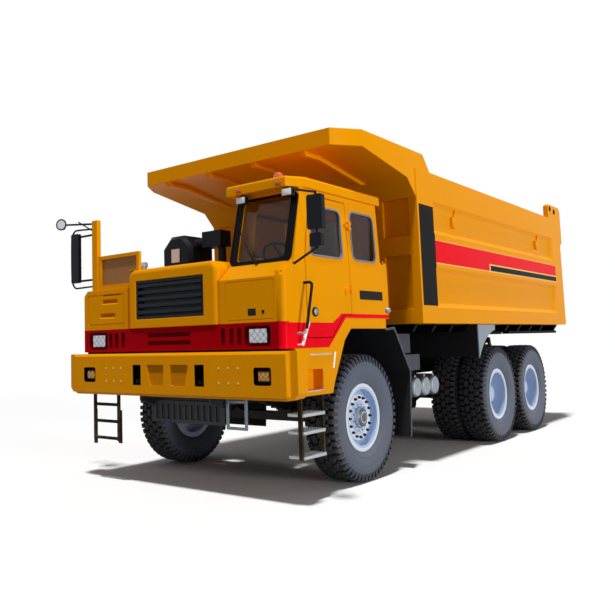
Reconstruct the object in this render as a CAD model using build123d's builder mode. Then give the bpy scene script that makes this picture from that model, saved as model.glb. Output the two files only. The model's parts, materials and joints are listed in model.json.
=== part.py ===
"""Mining dump truck, 6x4, with an offset half-width cab and a canopied rock body.

Lengths are millimetres. X points forward, Y to the driver's left and Z up. The origin is on the
ground under the middle of the truck's length, on its centre line.
"""
import os
from math import hypot, sqrt

from build123d import *

os.makedirs("parts", exist_ok=True)

# Tyres, all of one size
tyre_radius = 685
tyre_width = 375
lug_count = 18
lug_depth = 34
bulge_radius = 500
bead_radius = 317.5
flange_radius = 364
rim_width = 254
rim_wall = 14
flange_thick = 12

# Layout along and across the truck
front_overhang = 1610
wheelbase = 3700
tandem_gap = 130
rear_overhang = 1930
body_width = 3280
front_half_track = 1254.5
rear_half_track = 1392.5
twin_gap = 50

# Heights, each measured up from the one before, starting at the axles
rail_lift = 315
rail_depth = 380
pad_height = 20
beam_depth = 200
bearer_depth = 100
floor_thick = 30
side_height = 1870

# Running and fitting clearances
run_gap = 0.3
move_gap = 5
slide_gap = 0.9

tandem_spacing = 2 * tyre_radius + tandem_gap
overall_length = front_overhang + wheelbase + tandem_spacing + rear_overhang
nose_x = overall_length / 2
tail_x = -overall_length / 2
front_axle_x = nose_x - front_overhang
mid_axle_x = front_axle_x - wheelbase
rear_axle_x = mid_axle_x - tandem_spacing
bogie_x = (mid_axle_x + rear_axle_x) / 2
body_half = body_width / 2
twin_spacing = tyre_width + twin_gap

axle_z = tyre_radius
rail_bottom = axle_z + rail_lift
rail_top = rail_bottom + rail_depth
beam_bottom = rail_top + pad_height
bearer_bottom = beam_bottom + beam_depth
floor_bottom = bearer_bottom + bearer_depth
floor_top = floor_bottom + floor_thick
side_top = floor_top + side_height

# Frame
rail_inner = 405
rail_width = 90
rail_outer = rail_inner + rail_width
rail_middle = rail_inner + rail_width / 2
bumper_depth = 200
rail_front = nose_x - bumper_depth

# Body hinge and hoist
hinge_setback = 1060
hinge_lift = 80
hinge_x = rear_axle_x - hinge_setback
hinge_z = rail_top + hinge_lift
hinge_pin_radius = 34
hinge_lug_radius = 52
hinge_lug_half = 34
hinge_lug_length = 95
rail_tail = hinge_x - 140
hoist_y = 290
trunnion_x = mid_axle_x + 490
trunnion_z = axle_z - 125
trunnion_radius = 35
hoist_top_x = trunnion_x + 110
hoist_top_z = floor_bottom - 120
hoist_pin_radius = 25
eye_drift = 33
eye_bore = hoist_pin_radius + eye_drift
eye_radius = eye_bore + 30
eye_half = 64

# Cab: its front follows the nose, its rear and its wheel arch follow the front axle
cab_lift = 335
band_height = 255
cab_height = 1335
cab_skin = 50
cab_inner_y = 700
cab_width = 800
cab_taper = 40
cab_outer_y = cab_inner_y + cab_width
cab_roof_side_y = cab_outer_y - cab_taper
cab_front_x = nose_x - 60
cab_rear_x = front_axle_x - 410
band_top = rail_top + cab_lift
band_bottom = band_top - band_height
cab_floor_z = band_top
cab_crease_z = band_top + 485
cab_eaves_z = band_top + cab_height
roof_top = cab_eaves_z + 110
band_thick = 70
door_gap = 8
door_front_gap = 12
door_front_x = cab_front_x - 385
door_rear_x = front_axle_x + 338
door_bottom = band_bottom + 100
door_top = cab_eaves_z - 65
window_low = band_top + 645
window_high = cab_eaves_z - 150

# Body: its front clears the cab, its canopy clears the cab roof
cab_clearance = 680
canopy_clearance = 460
canopy_depth = 190
canopy_sheet = 40
side_thick = 80
side_inner = body_half - side_thick
side_front_x = cab_rear_x - cab_clearance
side_rear_x = tail_x + 90
wall_top = side_top - 360
canopy_bottom = roof_top + canopy_clearance
canopy_top = canopy_bottom + canopy_depth
canopy_front_x = nose_x - 1120


def block(x, y, z, mode=Mode.ADD):
    """A block between two values of x, of y and of z."""
    with Locations(((x[0] + x[1]) / 2, (y[0] + y[1]) / 2, (z[0] + z[1]) / 2)):
        Box(abs(x[1] - x[0]), abs(y[1] - y[0]), abs(z[1] - z[0]), mode=mode)


def plate(plane, outline, thickness, mode):
    """An outline on a plane, as thick as asked along the plane's normal."""
    with BuildSketch(plane) as face:
        with BuildLine():
            Polyline(*outline, close=True)
        make_face()
    extrude(face.sketch, amount=thickness, mode=mode)


def side_plate(outline, y, mode=Mode.ADD):
    """An outline in x and z, as thick as the two values of y say."""
    plate(Plane.XZ.offset(-max(y)), outline, max(y) - min(y), mode)


def cross_plate(outline, x, mode=Mode.ADD):
    """An outline in y and z, as thick as the two values of x say."""
    plate(Plane.YZ.offset(min(x)), outline, max(x) - min(x), mode)


def flat_plate(outline, z, mode=Mode.ADD):
    """An outline in x and y, as thick as the two values of z say."""
    plate(Plane.XY.offset(min(z)), outline, max(z) - min(z), mode)


def bar(start, end, radius, mode=Mode.ADD):
    """A round bar from one point to another."""
    start, end = Vector(*start), Vector(*end)
    with BuildSketch(Plane(origin=start, z_dir=end - start)) as face:
        Circle(radius)
    extrude(face.sketch, amount=(end - start).length, mode=mode)


def bent_tube(points, bend, radius):
    """A round bar along straight runs joined by bends."""
    with BuildLine() as run:
        FilletPolyline(*points, radius=bend)
    with BuildSketch(Plane(origin=run.line @ 0, z_dir=run.line % 0)) as face:
        Circle(radius)
    sweep(face.sketch, path=run.line)


def soft_block(x, y, z, radius):
    """A block whose front outline has rounded corners."""
    with BuildSketch(Plane.YZ.offset(min(x))) as face:
        with Locations(((y[0] + y[1]) / 2, (z[0] + z[1]) / 2)):
            RectangleRounded(abs(y[1] - y[0]), abs(z[1] - z[0]), radius)
    extrude(face.sketch, amount=abs(x[1] - x[0]))


def turned(section, centre, side=1):
    """A section of distances out from the centre and radii, spun round an axis along Y."""
    with BuildSketch(Plane(origin=centre, x_dir=(1, 0, 0), z_dir=(0, 0, side))) as half:
        with BuildLine():
            Polyline(*[(radius, distance) for distance, radius in section], close=True)
        make_face()
    revolve(half.sketch, axis=Axis(centre, (0, 1, 0)))


def spread(first, last, count):
    """Evenly spaced places from the first to the last."""
    return [first + (last - first) * i / (count - 1) for i in range(count)]


def both(y):
    """The two mirrored ranges of y that a pair of pieces takes."""
    return [(side * y[0], side * y[1]) for side in (1, -1)]


def keep(piece, name):
    """Label a finished piece and write its file."""
    piece.part.label = name
    export_step(piece.part, f"parts/{name}.step")


# Frame: two box rails, cross members, hoist hangers and the body's hinge brackets
hinge_cheek = 25
cheek_low = rail_middle - hinge_lug_half - move_gap
cheek_high = rail_middle + hinge_lug_half + move_gap
hanger_thick = 25
hanger_half = 90
member_bottom = rail_bottom + 60
member_top = rail_top - 80
cross_members = [  # x of the middle, length in x, bottom, top
    (rail_front - 70, 120, rail_bottom, rail_bottom + 120),
    (front_axle_x - 1310, 120, member_bottom, member_top),
    (trunnion_x + 370, 120, member_bottom, member_top),
    (bogie_x, 260, member_bottom, rail_top),
    (hinge_x + 550, 120, member_bottom, member_top),
    (rail_tail + 50, 100, rail_bottom, rail_top),
]
pad_length = 240
bearer_low = rail_top + 270
bearer_half = cab_outer_y - 100
cab_bearers = [(cab_front_x - 290, cab_front_x - 190), (cab_rear_x + 70, cab_rear_x + 170)]
tow_lug_x, tow_lug_radius, tow_bore = rail_tail - 110, 60, 26
tow_lug_bottom = rail_bottom + 120
tow_lug_top = tow_lug_bottom + 50

with BuildPart() as frame:
    for y in both((rail_inner, rail_outer)):
        block((rail_tail, rail_front), y, (rail_bottom, rail_top))
        for x in spread(side_front_x - 470, hinge_x + 600, 5):
            block((x - pad_length / 2, x + pad_length / 2), y, (rail_top, beam_bottom - run_gap))
        for x in cab_bearers:
            block(x, y, (rail_top, bearer_low))
    for side in (1, -1):
        hanger_y = (side * rail_inner, side * (rail_inner + hanger_thick))
        side_plate([(trunnion_x - hanger_half - 60, rail_bottom), (trunnion_x - hanger_half, trunnion_z - 40),
                    (trunnion_x - 50, trunnion_z - 80), (trunnion_x + 50, trunnion_z - 80),
                    (trunnion_x + hanger_half, trunnion_z - 40), (trunnion_x + hanger_half + 60, rail_bottom)],
                   hanger_y)
        for low, high in ((cheek_low - hinge_cheek, cheek_low), (cheek_high, cheek_high + hinge_cheek)):
            side_plate([(hinge_x - 90, rail_top - 120), (hinge_x - 45, hinge_z + 30), (hinge_x - 20, hinge_z + 50),
                        (hinge_x + 20, hinge_z + 50), (hinge_x + 40, hinge_z + 30), (hinge_x + 60, rail_top - 120)],
                       (side * low, side * high))
        bar((hinge_x, side * (cheek_low - hinge_cheek), hinge_z),
            (hinge_x, side * (cheek_high + hinge_cheek), hinge_z), hinge_pin_radius)
    for x, length, low, high in cross_members:
        block((x - length / 2, x + length / 2), (-rail_inner, rail_inner), (low, high))
    for x in cab_bearers:
        block(x, (-bearer_half, bearer_half), (bearer_low, band_top))
    block((tow_lug_x, rail_tail), (-tow_lug_radius, tow_lug_radius), (tow_lug_bottom, tow_lug_top))
    bar((tow_lug_x, 0, tow_lug_bottom), (tow_lug_x, 0, tow_lug_top), tow_lug_radius)
    bar((tow_lug_x, 0, tow_lug_bottom), (tow_lug_x, 0, tow_lug_top), tow_bore, mode=Mode.SUBTRACT)
    for side in (1, -1):
        bar((trunnion_x, side * rail_inner, trunnion_z),
            (trunnion_x, side * (rail_inner + hanger_thick), trunnion_z),
            trunnion_radius + run_gap, mode=Mode.SUBTRACT)
keep(frame, "frame")

# Bumper: a deep box beam with tow slots, lamp pockets, two tapered recesses and end flanges
bumper_half = 1563
bumper_bottom = rail_bottom - 20
bumper_top = bumper_bottom + 460
bumper_corner = 55
bumper_bevel = 28
flange_half = 1644
slot_y, slot_half = 461, 65
slot_bottom = bumper_bottom + 117
slot_top = slot_bottom + 220
slot_depth = 170
front_lug_x = nose_x - 70
front_lug_z = (slot_bottom + 20, slot_bottom + 60)
recess_depth = 25
fog_y, fog_z = 1260, bumper_bottom + 225
fog_width, fog_height, fog_depth = 210, 170, 60
with BuildPart() as front_bumper:
    with BuildSketch(Plane.YZ.offset(rail_front)) as face:
        with BuildLine():
            Polyline((-bumper_half, bumper_bottom), (bumper_half, bumper_bottom), (bumper_half, bumper_top),
                     (-bumper_half, bumper_top), close=True)
        make_face()
        fillet(face.vertices().group_by(Axis.Y)[0], bumper_corner)
    extrude(amount=bumper_depth)
    chamfer(front_bumper.faces().sort_by(Axis.X)[-1].edges(), bumper_bevel)
    for side in (1, -1):
        cross_plate([(side * bumper_half, bumper_bottom + bumper_corner), (side * bumper_half, bumper_top),
                     (side * flange_half, bumper_top), (side * flange_half, bumper_bottom + 70),
                     (side * (flange_half - 45), bumper_bottom + 20), (side * (bumper_half - 30), bumper_bottom + 20)],
                    (nose_x - 190, nose_x - 30))
    with BuildSketch(Plane.YZ.offset(nose_x)) as recess:
        for side in (1, -1):
            with BuildLine():
                Polyline((side * 46, slot_top), (side * 312, slot_top), (side * 256, slot_bottom),
                         (side * 55, slot_bottom), close=True)
            make_face()
        fillet(recess.vertices(), 15)
    extrude(recess.sketch, amount=-recess_depth, mode=Mode.SUBTRACT)
    with BuildSketch(Plane.YZ.offset(nose_x)) as pockets:
        with Locations((fog_y, fog_z), (-fog_y, fog_z)):
            RectangleRounded(fog_width, fog_height, 25)
    extrude(pockets.sketch, amount=-fog_depth, mode=Mode.SUBTRACT)
    for side in (1, -1):
        slot = (side * (slot_y - slot_half), side * (slot_y + slot_half))
        eye = (front_lug_x, side * slot_y)
        block((nose_x - slot_depth, nose_x + 1), slot, (slot_bottom, slot_top), mode=Mode.SUBTRACT)
        block((nose_x - slot_depth, front_lug_x), slot, front_lug_z)
        bar((*eye, front_lug_z[0]), (*eye, front_lug_z[1]), tow_lug_radius)
        bar((*eye, front_lug_z[0]), (*eye, front_lug_z[1]), tow_bore, mode=Mode.SUBTRACT)
keep(front_bumper, "front_bumper")

# Slotted guard under the bumper, hung from it by two raked straps
guard_x = front_axle_x + 1200
guard_bottom = axle_z - 22
guard_top = guard_bottom + 243
guard_y = (-650, 440)
guard_slots, guard_pitch, guard_slot_width = 11, 90, 60
with BuildPart() as radiator_guard:
    block((guard_x - 12, guard_x), guard_y, (guard_bottom, guard_top))
    with Locations(Plane.YZ.offset(guard_x)):
        with Locations(((guard_y[0] + guard_y[1]) / 2, (guard_bottom + guard_top) / 2)):
            with GridLocations(guard_pitch, 0, guard_slots, 1):
                Box(guard_slot_width, guard_top - guard_bottom - 80, 30, mode=Mode.SUBTRACT)
    for y in (guard_y[0] + 30, guard_y[1] - 20):
        side_plate([(guard_x - 12, guard_top - 60), (guard_x - 12, guard_top), (rail_front, bumper_bottom),
                    (rail_front, bumper_bottom - 70)], (y - 12, y + 12))
keep(radiator_guard, "radiator_guard")

# Hood: a shell over the engine with a framed mouth for the grille
hood_low_y, hood_high_y = -640, cab_inner_y - move_gap
hood_front_x = nose_x - 40
hood_rear_x = hood_front_x - 1050
hood_top = band_top + 655
hood_skin = 30
hood_edge = 110
mouth_depth = 80
grille_half = 505
grille_bottom = band_top + 95
grille_top = grille_bottom + 425
with BuildPart() as hood:
    block((hood_rear_x, hood_front_x), (hood_low_y, hood_high_y), (band_top, hood_top))
    fillet(hood.edges().filter_by(Axis.X).group_by(Axis.Z)[-1], hood_edge)
    fillet(hood.edges().filter_by(Axis.Y).group_by(Axis.X)[-1].sort_by(Axis.Z)[-1], 60)
    block((hood_rear_x - 1, hood_front_x - mouth_depth), (hood_low_y + hood_skin, hood_high_y - hood_skin),
          (band_top - 1, hood_top - hood_edge), mode=Mode.SUBTRACT)
    block((hood_front_x - 200, hood_front_x + 1), (-grille_half, grille_half), (grille_bottom, grille_top),
          mode=Mode.SUBTRACT)
keep(hood, "hood")

# Grille: a surround with raked louvre blades
grille_face_x = hood_front_x - 10
grille_border = 30
blade_count = 5
blade_pitch = (grille_top - grille_bottom - 2 * grille_border) / blade_count
blade_depth = 45
with BuildPart() as grille:
    block((grille_face_x - 60, grille_face_x), (-grille_half, grille_half), (grille_bottom, grille_top))
    block((grille_face_x - blade_depth, grille_face_x + 1), (-grille_half + grille_border, grille_half - grille_border),
          (grille_bottom + grille_border, grille_top - grille_border), mode=Mode.SUBTRACT)
    for i in range(blade_count):
        low = grille_bottom + grille_border + i * blade_pitch
        side_plate([(grille_face_x - blade_depth, low + 25), (grille_face_x - blade_depth, low + 12 + blade_pitch / 2),
                    (grille_face_x - 4, low + blade_pitch - 6), (grille_face_x - 4, low + blade_pitch / 2 - 10)],
                   (-grille_half + grille_border, grille_half - grille_border))
keep(grille, "grille")

# Red band across the nose, with lamp pockets, upright flutes and two slots under the hood
head_y, head_z = 1170, (band_bottom + band_top) / 2
head_width, head_height = 230, 150
band_half = 1420
flute_spots = [740, 850, 950]
with BuildPart() as nose_band:
    block((cab_front_x - band_thick, cab_front_x), (-band_half, cab_outer_y), (band_bottom, band_top))
    with BuildSketch(Plane.YZ.offset(cab_front_x)) as pockets:
        for side in (1, -1):
            with Locations((side * head_y, head_z)):
                RectangleRounded(head_width + 90, head_height + 45, 25)
    extrude(pockets.sketch, amount=-40, mode=Mode.SUBTRACT)
    with BuildSketch(Plane.YZ.offset(cab_front_x)) as flutes:
        for y in flute_spots:
            with Locations((y, head_z), (-y, head_z)):
                RectangleRounded(56, band_height - 80, 20)
        for z in (band_bottom + 87, band_bottom + 172):
            with Locations((-25, z)):
                RectangleRounded(650, 45, 15)
    extrude(flutes.sketch, amount=-28, mode=Mode.SUBTRACT)
keep(nose_band, "nose_band")

# Wheel arch: four corners measured from the front axle, shared by the fenders, cab side and door
arch_rear = (front_axle_x + tyre_radius - 332, rail_top + 265)
arch_crown = (front_axle_x + tyre_radius - 195, rail_top + 146)
arch_front = (front_axle_x + tyre_radius + 35, rail_bottom + 100)
arch_foot = (front_axle_x + tyre_radius + 75, rail_bottom)
arch_lip_top = rail_top + 373
arch_lip_x = (front_axle_x + tyre_radius - 195, front_axle_x + tyre_radius + 115)

# Cab shell, one piece for each panel, as thick as the whole wall
rear_step = 90
screen_low = band_top + 620
screen_high = cab_eaves_z - 65
brow_x = cab_front_x - 190
head_x = cab_front_x - 385
sill_z = band_top + 435
brow_z = band_top + 595
cab_section = [  # y, z of the outer side wall, seen from the front
    (cab_outer_y, band_bottom), (cab_outer_y, cab_crease_z), (cab_roof_side_y, cab_eaves_z),
    (cab_roof_side_y - cab_skin, cab_eaves_z), (cab_outer_y - cab_skin, cab_crease_z),
    (cab_outer_y - cab_skin, band_bottom)]
cab_side_outline = [  # x, z of the whole side
    (cab_front_x - band_thick, band_bottom), (cab_front_x - band_thick, band_top), (cab_front_x, band_top),
    (cab_front_x, sill_z), (brow_x, brow_z), (head_x, cab_eaves_z), (cab_rear_x + 50, cab_eaves_z),
    (cab_rear_x + 50, window_low + 30), (cab_rear_x - rear_step, window_low + 30),
    (cab_rear_x - rear_step, arch_lip_top), (arch_lip_x[0], arch_lip_top), (arch_lip_x[1], band_bottom)]
door_outline = [
    (door_front_x, door_bottom), (door_front_x, brow_z + 20), (door_front_x - 150, door_top),
    (door_rear_x, door_top), (door_rear_x, arch_lip_top + 47), (arch_lip_x[0] - 15, arch_lip_top + 47),
    (arch_lip_x[1] - 62, door_bottom)]
door_window = [
    (door_front_x - 65, window_low), (door_front_x - 150, window_high), (door_rear_x + 102, window_high),
    (door_rear_x + 102, window_low)]
quarter_window = [
    (door_rear_x - 68, window_low + 5), (door_rear_x - 68, window_high + 25), (cab_rear_x + 140, window_high + 25),
    (cab_rear_x + 140, window_low + 5)]
right_window = [
    (cab_front_x - 510, window_low + 60), (cab_front_x - 610, window_high), (cab_rear_x + 350, window_high),
    (cab_rear_x + 350, window_low + 60)]
rear_window_y = (cab_inner_y + 150, cab_outer_y - 200)
rear_window_z = (window_low + 60, window_high)
screen_y = (cab_inner_y + 75, cab_outer_y - 120)
cut_y = (cab_outer_y - 200, cab_outer_y + 100)
panel_y = (cab_inner_y + cab_skin, cab_outer_y - cab_skin - 45)


def grown(outline, gap, front_gap):
    """An outline made larger by its running gap, which may differ at the front."""
    middle_x = sum(x for x, z in outline) / len(outline)
    middle_z = sum(z for x, z in outline) / len(outline)
    return [(x + (front_gap if x > middle_x else -gap), z + (gap if z > middle_z else -gap))
            for x, z in outline]


door_hinge_x, door_hinge_y = door_rear_x - 4, cab_outer_y + 12
door_pin_radius, door_knuckle_radius = 8, 12
door_hinges = [cab_crease_z - 140, cab_crease_z + 540]
knuckle_half = 15


def door_leaf(z, leaf_x, arm_x):
    """A hinge leaf on a cab panel, with its arm out to the hinge axis."""
    block(leaf_x, (cab_roof_side_y - 15, cab_outer_y + 6), z)
    block(arm_x, (cab_outer_y, cab_outer_y + 6), z)
    bar((door_hinge_x, door_hinge_y, z[0]), (door_hinge_x, door_hinge_y, z[1]), door_knuckle_radius)


with BuildPart() as cab_left:
    cross_plate(cab_section, (cab_rear_x - rear_step, cab_front_x))
    side_plate(cab_side_outline, cut_y, mode=Mode.INTERSECT)
    side_plate(grown(door_outline, door_gap, door_front_gap), cut_y, mode=Mode.SUBTRACT)
    side_plate(quarter_window, cut_y, mode=Mode.SUBTRACT)
    leaf_edge = door_rear_x - door_gap - 2
    for z in door_hinges:
        for low, high in ((z - 3 * knuckle_half, z - knuckle_half - run_gap),
                          (z + knuckle_half + run_gap, z + 3 * knuckle_half)):
            door_leaf((low, high), (leaf_edge - 53, leaf_edge), (leaf_edge, door_hinge_x))
        bar((door_hinge_x, door_hinge_y, z - 3 * knuckle_half),
            (door_hinge_x, door_hinge_y, z + 3 * knuckle_half), door_pin_radius)
keep(cab_left, "cab_left")

with BuildPart() as cab_door:
    cross_plate(cab_section, (cab_rear_x - rear_step, cab_front_x))
    side_plate(door_outline, cut_y, mode=Mode.INTERSECT)
    side_plate(door_window, cut_y, mode=Mode.SUBTRACT)
    for z in door_hinges:
        door_leaf((z - knuckle_half, z + knuckle_half), (door_rear_x + 4, door_rear_x + 4 + 53),
                  (door_hinge_x, door_rear_x + 4))
        bar((door_hinge_x, door_hinge_y, z - knuckle_half), (door_hinge_x, door_hinge_y, z + knuckle_half),
            door_pin_radius + run_gap, mode=Mode.SUBTRACT)
keep(cab_door, "cab_door")

front_outline = [  # x, z of the front panel and windscreen frame, outer then inner
    (cab_front_x, band_top), (cab_front_x, sill_z), (brow_x, brow_z), (head_x, cab_eaves_z),
    (head_x - cab_skin, cab_eaves_z), (brow_x - cab_skin, brow_z - 20), (cab_front_x - cab_skin, sill_z - 20),
    (cab_front_x - cab_skin, band_top)]
press_depth = 8
with BuildPart() as cab_front:
    side_plate(front_outline, panel_y)
    with BuildSketch(Plane.YZ.offset(cab_front_x)) as press:
        with Locations(((panel_y[0] + panel_y[1]) / 2, (band_top + sill_z) / 2)):
            RectangleRounded(panel_y[1] - panel_y[0] - 50, sill_z - band_top - 50, 25)
            RectangleRounded(panel_y[1] - panel_y[0] - 66, sill_z - band_top - 66, 18, mode=Mode.SUBTRACT)
    extrude(press.sketch, amount=-press_depth, mode=Mode.SUBTRACT)
    with BuildSketch(Plane.YZ.offset(head_x - cab_skin - 60)) as opening:
        with Locations(((screen_y[0] + screen_y[1]) / 2, (screen_low + screen_high) / 2)):
            RectangleRounded(screen_y[1] - screen_y[0], screen_high - screen_low, 45)
    extrude(opening.sketch, amount=cab_front_x - head_x + 200, mode=Mode.SUBTRACT)
keep(cab_front, "cab_front")

with BuildPart() as cab_right:
    side_plate([(cab_front_x, band_top), (cab_front_x, sill_z), (brow_x, brow_z), (head_x, cab_eaves_z),
                (cab_rear_x + 50, cab_eaves_z), (cab_rear_x + 50, band_top)], (cab_inner_y, cab_inner_y + cab_skin))
    side_plate(right_window, (cab_inner_y, cab_inner_y + cab_skin), mode=Mode.SUBTRACT)
keep(cab_right, "cab_right")

floor_plate = 40
with BuildPart() as cab_rear:
    block((cab_rear_x + 50, cab_rear_x + 50 + cab_skin), panel_y, (cab_floor_z + floor_plate, cab_eaves_z))
    block((cab_rear_x, cab_rear_x + 200), rear_window_y, rear_window_z, mode=Mode.SUBTRACT)
keep(cab_rear, "cab_rear")

with BuildPart() as cab_floor:
    block((cab_rear_x + 50, cab_front_x - cab_skin), panel_y, (cab_floor_z, cab_floor_z + floor_plate))
keep(cab_floor, "cab_floor")

roof_front_x = cab_front_x - 250
with BuildPart() as cab_roof:
    flat_plate([(roof_front_x, cab_inner_y - 80), (roof_front_x, cab_outer_y - 120),
                (roof_front_x - 210, cab_outer_y - 10), (cab_rear_x, cab_outer_y - 10),
                (cab_rear_x, cab_inner_y - 80)], (cab_eaves_z, roof_top))
    fillet(cab_roof.faces().sort_by(Axis.Z)[-1].edges(), 30)
keep(cab_roof, "cab_roof")

glass_inset, glass_thick = 20, 8
side_glass_y = (cab_roof_side_y + 2, cab_roof_side_y + 2 - glass_thick)
screen_rake = (brow_x - head_x) / (cab_eaves_z - brow_z)
screen_low_x = brow_x - glass_inset - (screen_low - brow_z) * screen_rake
screen_high_x = brow_x - glass_inset - (screen_high - brow_z) * screen_rake
with BuildPart() as cab_glass:
    side_plate([(screen_low_x, screen_low), (screen_high_x, screen_high),
                (screen_high_x - glass_thick, screen_high), (screen_low_x - glass_thick, screen_low)], screen_y)
    with BuildSketch(Plane.YZ.offset(head_x - cab_skin - 60)) as opening:
        with Locations(((screen_y[0] + screen_y[1]) / 2, (screen_low + screen_high) / 2)):
            RectangleRounded(screen_y[1] - screen_y[0], screen_high - screen_low, 45)
    extrude(opening.sketch, amount=cab_front_x - head_x + 200, mode=Mode.INTERSECT)
    side_plate(quarter_window, side_glass_y)
    block((cab_rear_x + 70, cab_rear_x + 70 + glass_thick), rear_window_y, rear_window_z)
    side_plate(right_window, (cab_inner_y + glass_inset, cab_inner_y + glass_inset + glass_thick))
keep(cab_glass, "cab_glass")

with BuildPart() as door_glass:
    side_plate(door_window, side_glass_y)
keep(door_glass, "door_glass")

# Driver's place: a moulded seat on its pedestal, the dashboard and the steering wheel
seat_x = cab_rear_x + 550
seat_y = (cab_inner_y + 180, cab_outer_y - 200)
driver_y = (seat_y[0] + seat_y[1]) / 2
cushion_z = cab_floor_z + 365
with BuildPart() as driver_seat:
    with BuildSketch(Plane.XZ.offset(-seat_y[1])) as profile:
        with BuildLine():
            Polyline((seat_x, cushion_z), (seat_x + 480, cushion_z), (seat_x + 500, cushion_z + 120),
                     (seat_x + 130, cushion_z + 100), (seat_x + 60, cushion_z + 790), (seat_x - 60, cushion_z + 800),
                     close=True)
        make_face()
        fillet(profile.vertices(), 35)
    extrude(amount=seat_y[1] - seat_y[0])
    block((seat_x + 100, seat_x + 400), (seat_y[0] + 80, seat_y[1] - 80), (cab_floor_z + floor_plate, cushion_z))
keep(driver_seat, "driver_seat")

dash_x = cab_front_x - cab_skin
column_foot = (cab_front_x - 240, driver_y, cab_floor_z + 320)
column_head = (cab_front_x - 570, driver_y, cab_floor_z + 665)
column_dir = Vector(*column_head) - Vector(*column_foot)
wheel_radius = 210
with BuildPart() as cab_controls:
    side_plate([(dash_x - 210, cab_floor_z + 310), (dash_x, cab_floor_z + 250), (dash_x, cab_floor_z + 400),
                (dash_x - 150, cab_floor_z + 520), (dash_x - 210, cab_floor_z + 500)], panel_y)
    bar(column_foot, column_head, 30)
    with Locations(Plane(origin=column_head, z_dir=column_dir)):
        Torus(wheel_radius, 16)
        Cylinder(55, 32)
        with PolarLocations(0, 3):
            with Locations((wheel_radius / 2, 0)):
                Box(wheel_radius, 30, 16)
keep(cab_controls, "cab_controls")

# Step box and arch under the cab door, and its plain twin on the right
arch_outline = [
    (cab_front_x - band_thick - 80, band_bottom), (arch_lip_x[1], band_bottom), (arch_lip_x[0], arch_lip_top),
    (cab_rear_x - 10, arch_lip_top), (cab_rear_x - 10, arch_rear[1] - 2), arch_rear, arch_crown, arch_front,
    arch_foot, (nose_x - 270, rail_bottom), (nose_x - 210, rail_bottom + 60)]
step_x = (nose_x - 680, nose_x - 380)
step_z = (rail_bottom + 50, rail_bottom + 250)
fender_inner = cab_outer_y - 350
with BuildPart() as fenders:
    side_plate(arch_outline, (fender_inner, cab_outer_y))
    block((cab_rear_x - 350, arch_front[0] - 10), (fender_inner - 150, cab_outer_y - 80),
          (rail_bottom - 100, arch_lip_top + 50), mode=Mode.SUBTRACT)
    block(step_x, (cab_outer_y - 120, cab_outer_y + 1), step_z, mode=Mode.SUBTRACT)
    side_plate(arch_outline, (-cab_outer_y, -band_half))
keep(fenders, "fenders")

# Right deck: closed housing over the right front wheel, with a beaded front and a ribbed case on top
deck_y = (-band_half, hood_low_y - 15)
deck_top = band_top + 465
bead_y, bead_z = (deck_y[0] + deck_y[1]) / 2, (band_top + deck_top) / 2
case_x = (nose_x - 300, nose_x - 135)
case_y = (deck_y[0] + 240, deck_y[1] - 10)
case_top = deck_top + 300
louvres = [  # y of the middle, z of the middle, width, height
    (-1005, band_top + 160, 270, 60), (-965, band_top + 320, 270, 60), (-930, band_top + 395, 330, 18)]
with BuildPart() as right_deck:
    block((cab_rear_x, cab_front_x), deck_y, (band_top, deck_top))
    upper_left = right_deck.edges().filter_by(Axis.X).sort_by(Axis.Z)[-2:].sort_by(Axis.Y)[0]
    chamfer(upper_left, 60)
    with BuildSketch(Plane.YZ.offset(cab_front_x)) as bead:
        with Locations((bead_y, bead_z)):
            RectangleRounded(deck_y[1] - deck_y[0] - 120, deck_top - band_top - 110, 30)
            RectangleRounded(deck_y[1] - deck_y[0] - 150, deck_top - band_top - 140, 20, mode=Mode.SUBTRACT)
    extrude(bead.sketch, amount=-8, mode=Mode.SUBTRACT)
    for y, z, width, height in louvres:
        side_plate([(cab_front_x - 45, z + height / 2), (cab_front_x - 45, z + height / 4),
                    (cab_front_x + 1, z - height / 2), (cab_front_x + 1, z + height / 2)],
                   (y - width / 2, y + width / 2), mode=Mode.SUBTRACT)
    block(case_x, case_y, (deck_top, case_top))
    for z in spread(deck_top + 60, case_top - 40, 5):
        block((case_x[1] - 8, case_x[1] + 1), (case_y[0] + 20, case_y[1] - 20), (z - 12, z + 12), mode=Mode.SUBTRACT)
keep(right_deck, "right_deck")

guard_rail_top = deck_top + 400
post_top = deck_top + 840
guard_bar = 40
guard_face_x = nose_x - 80
guard_end_y = -486
post_y = (-1290, -1185)
with BuildPart() as deck_guard:
    block((guard_face_x - 50, guard_face_x + 10), post_y, (deck_top, post_top))
    fillet(deck_guard.edges().filter_by(Axis.Z), 12)
    with BuildSketch(Plane.YZ.offset(guard_face_x - guard_bar)) as rails:
        with BuildLine():
            Polyline((post_y[1], deck_top), (deck_y[1], deck_top), (deck_y[1], hood_top), (guard_end_y, hood_top),
                     (guard_end_y, guard_rail_top), (post_y[1], guard_rail_top), close=True)
        make_face()
        with BuildLine():
            Polyline((post_y[1] + guard_bar, deck_top + 55), (deck_y[1], deck_top + 55),
                     (deck_y[1], hood_top + 5), (guard_end_y - guard_bar, hood_top + 5),
                     (guard_end_y - guard_bar, guard_rail_top - guard_bar),
                     (post_y[1] + guard_bar, guard_rail_top - guard_bar), close=True)
        make_face(mode=Mode.SUBTRACT)
    extrude(rails.sketch, amount=guard_bar)
keep(deck_guard, "deck_guard")

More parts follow.
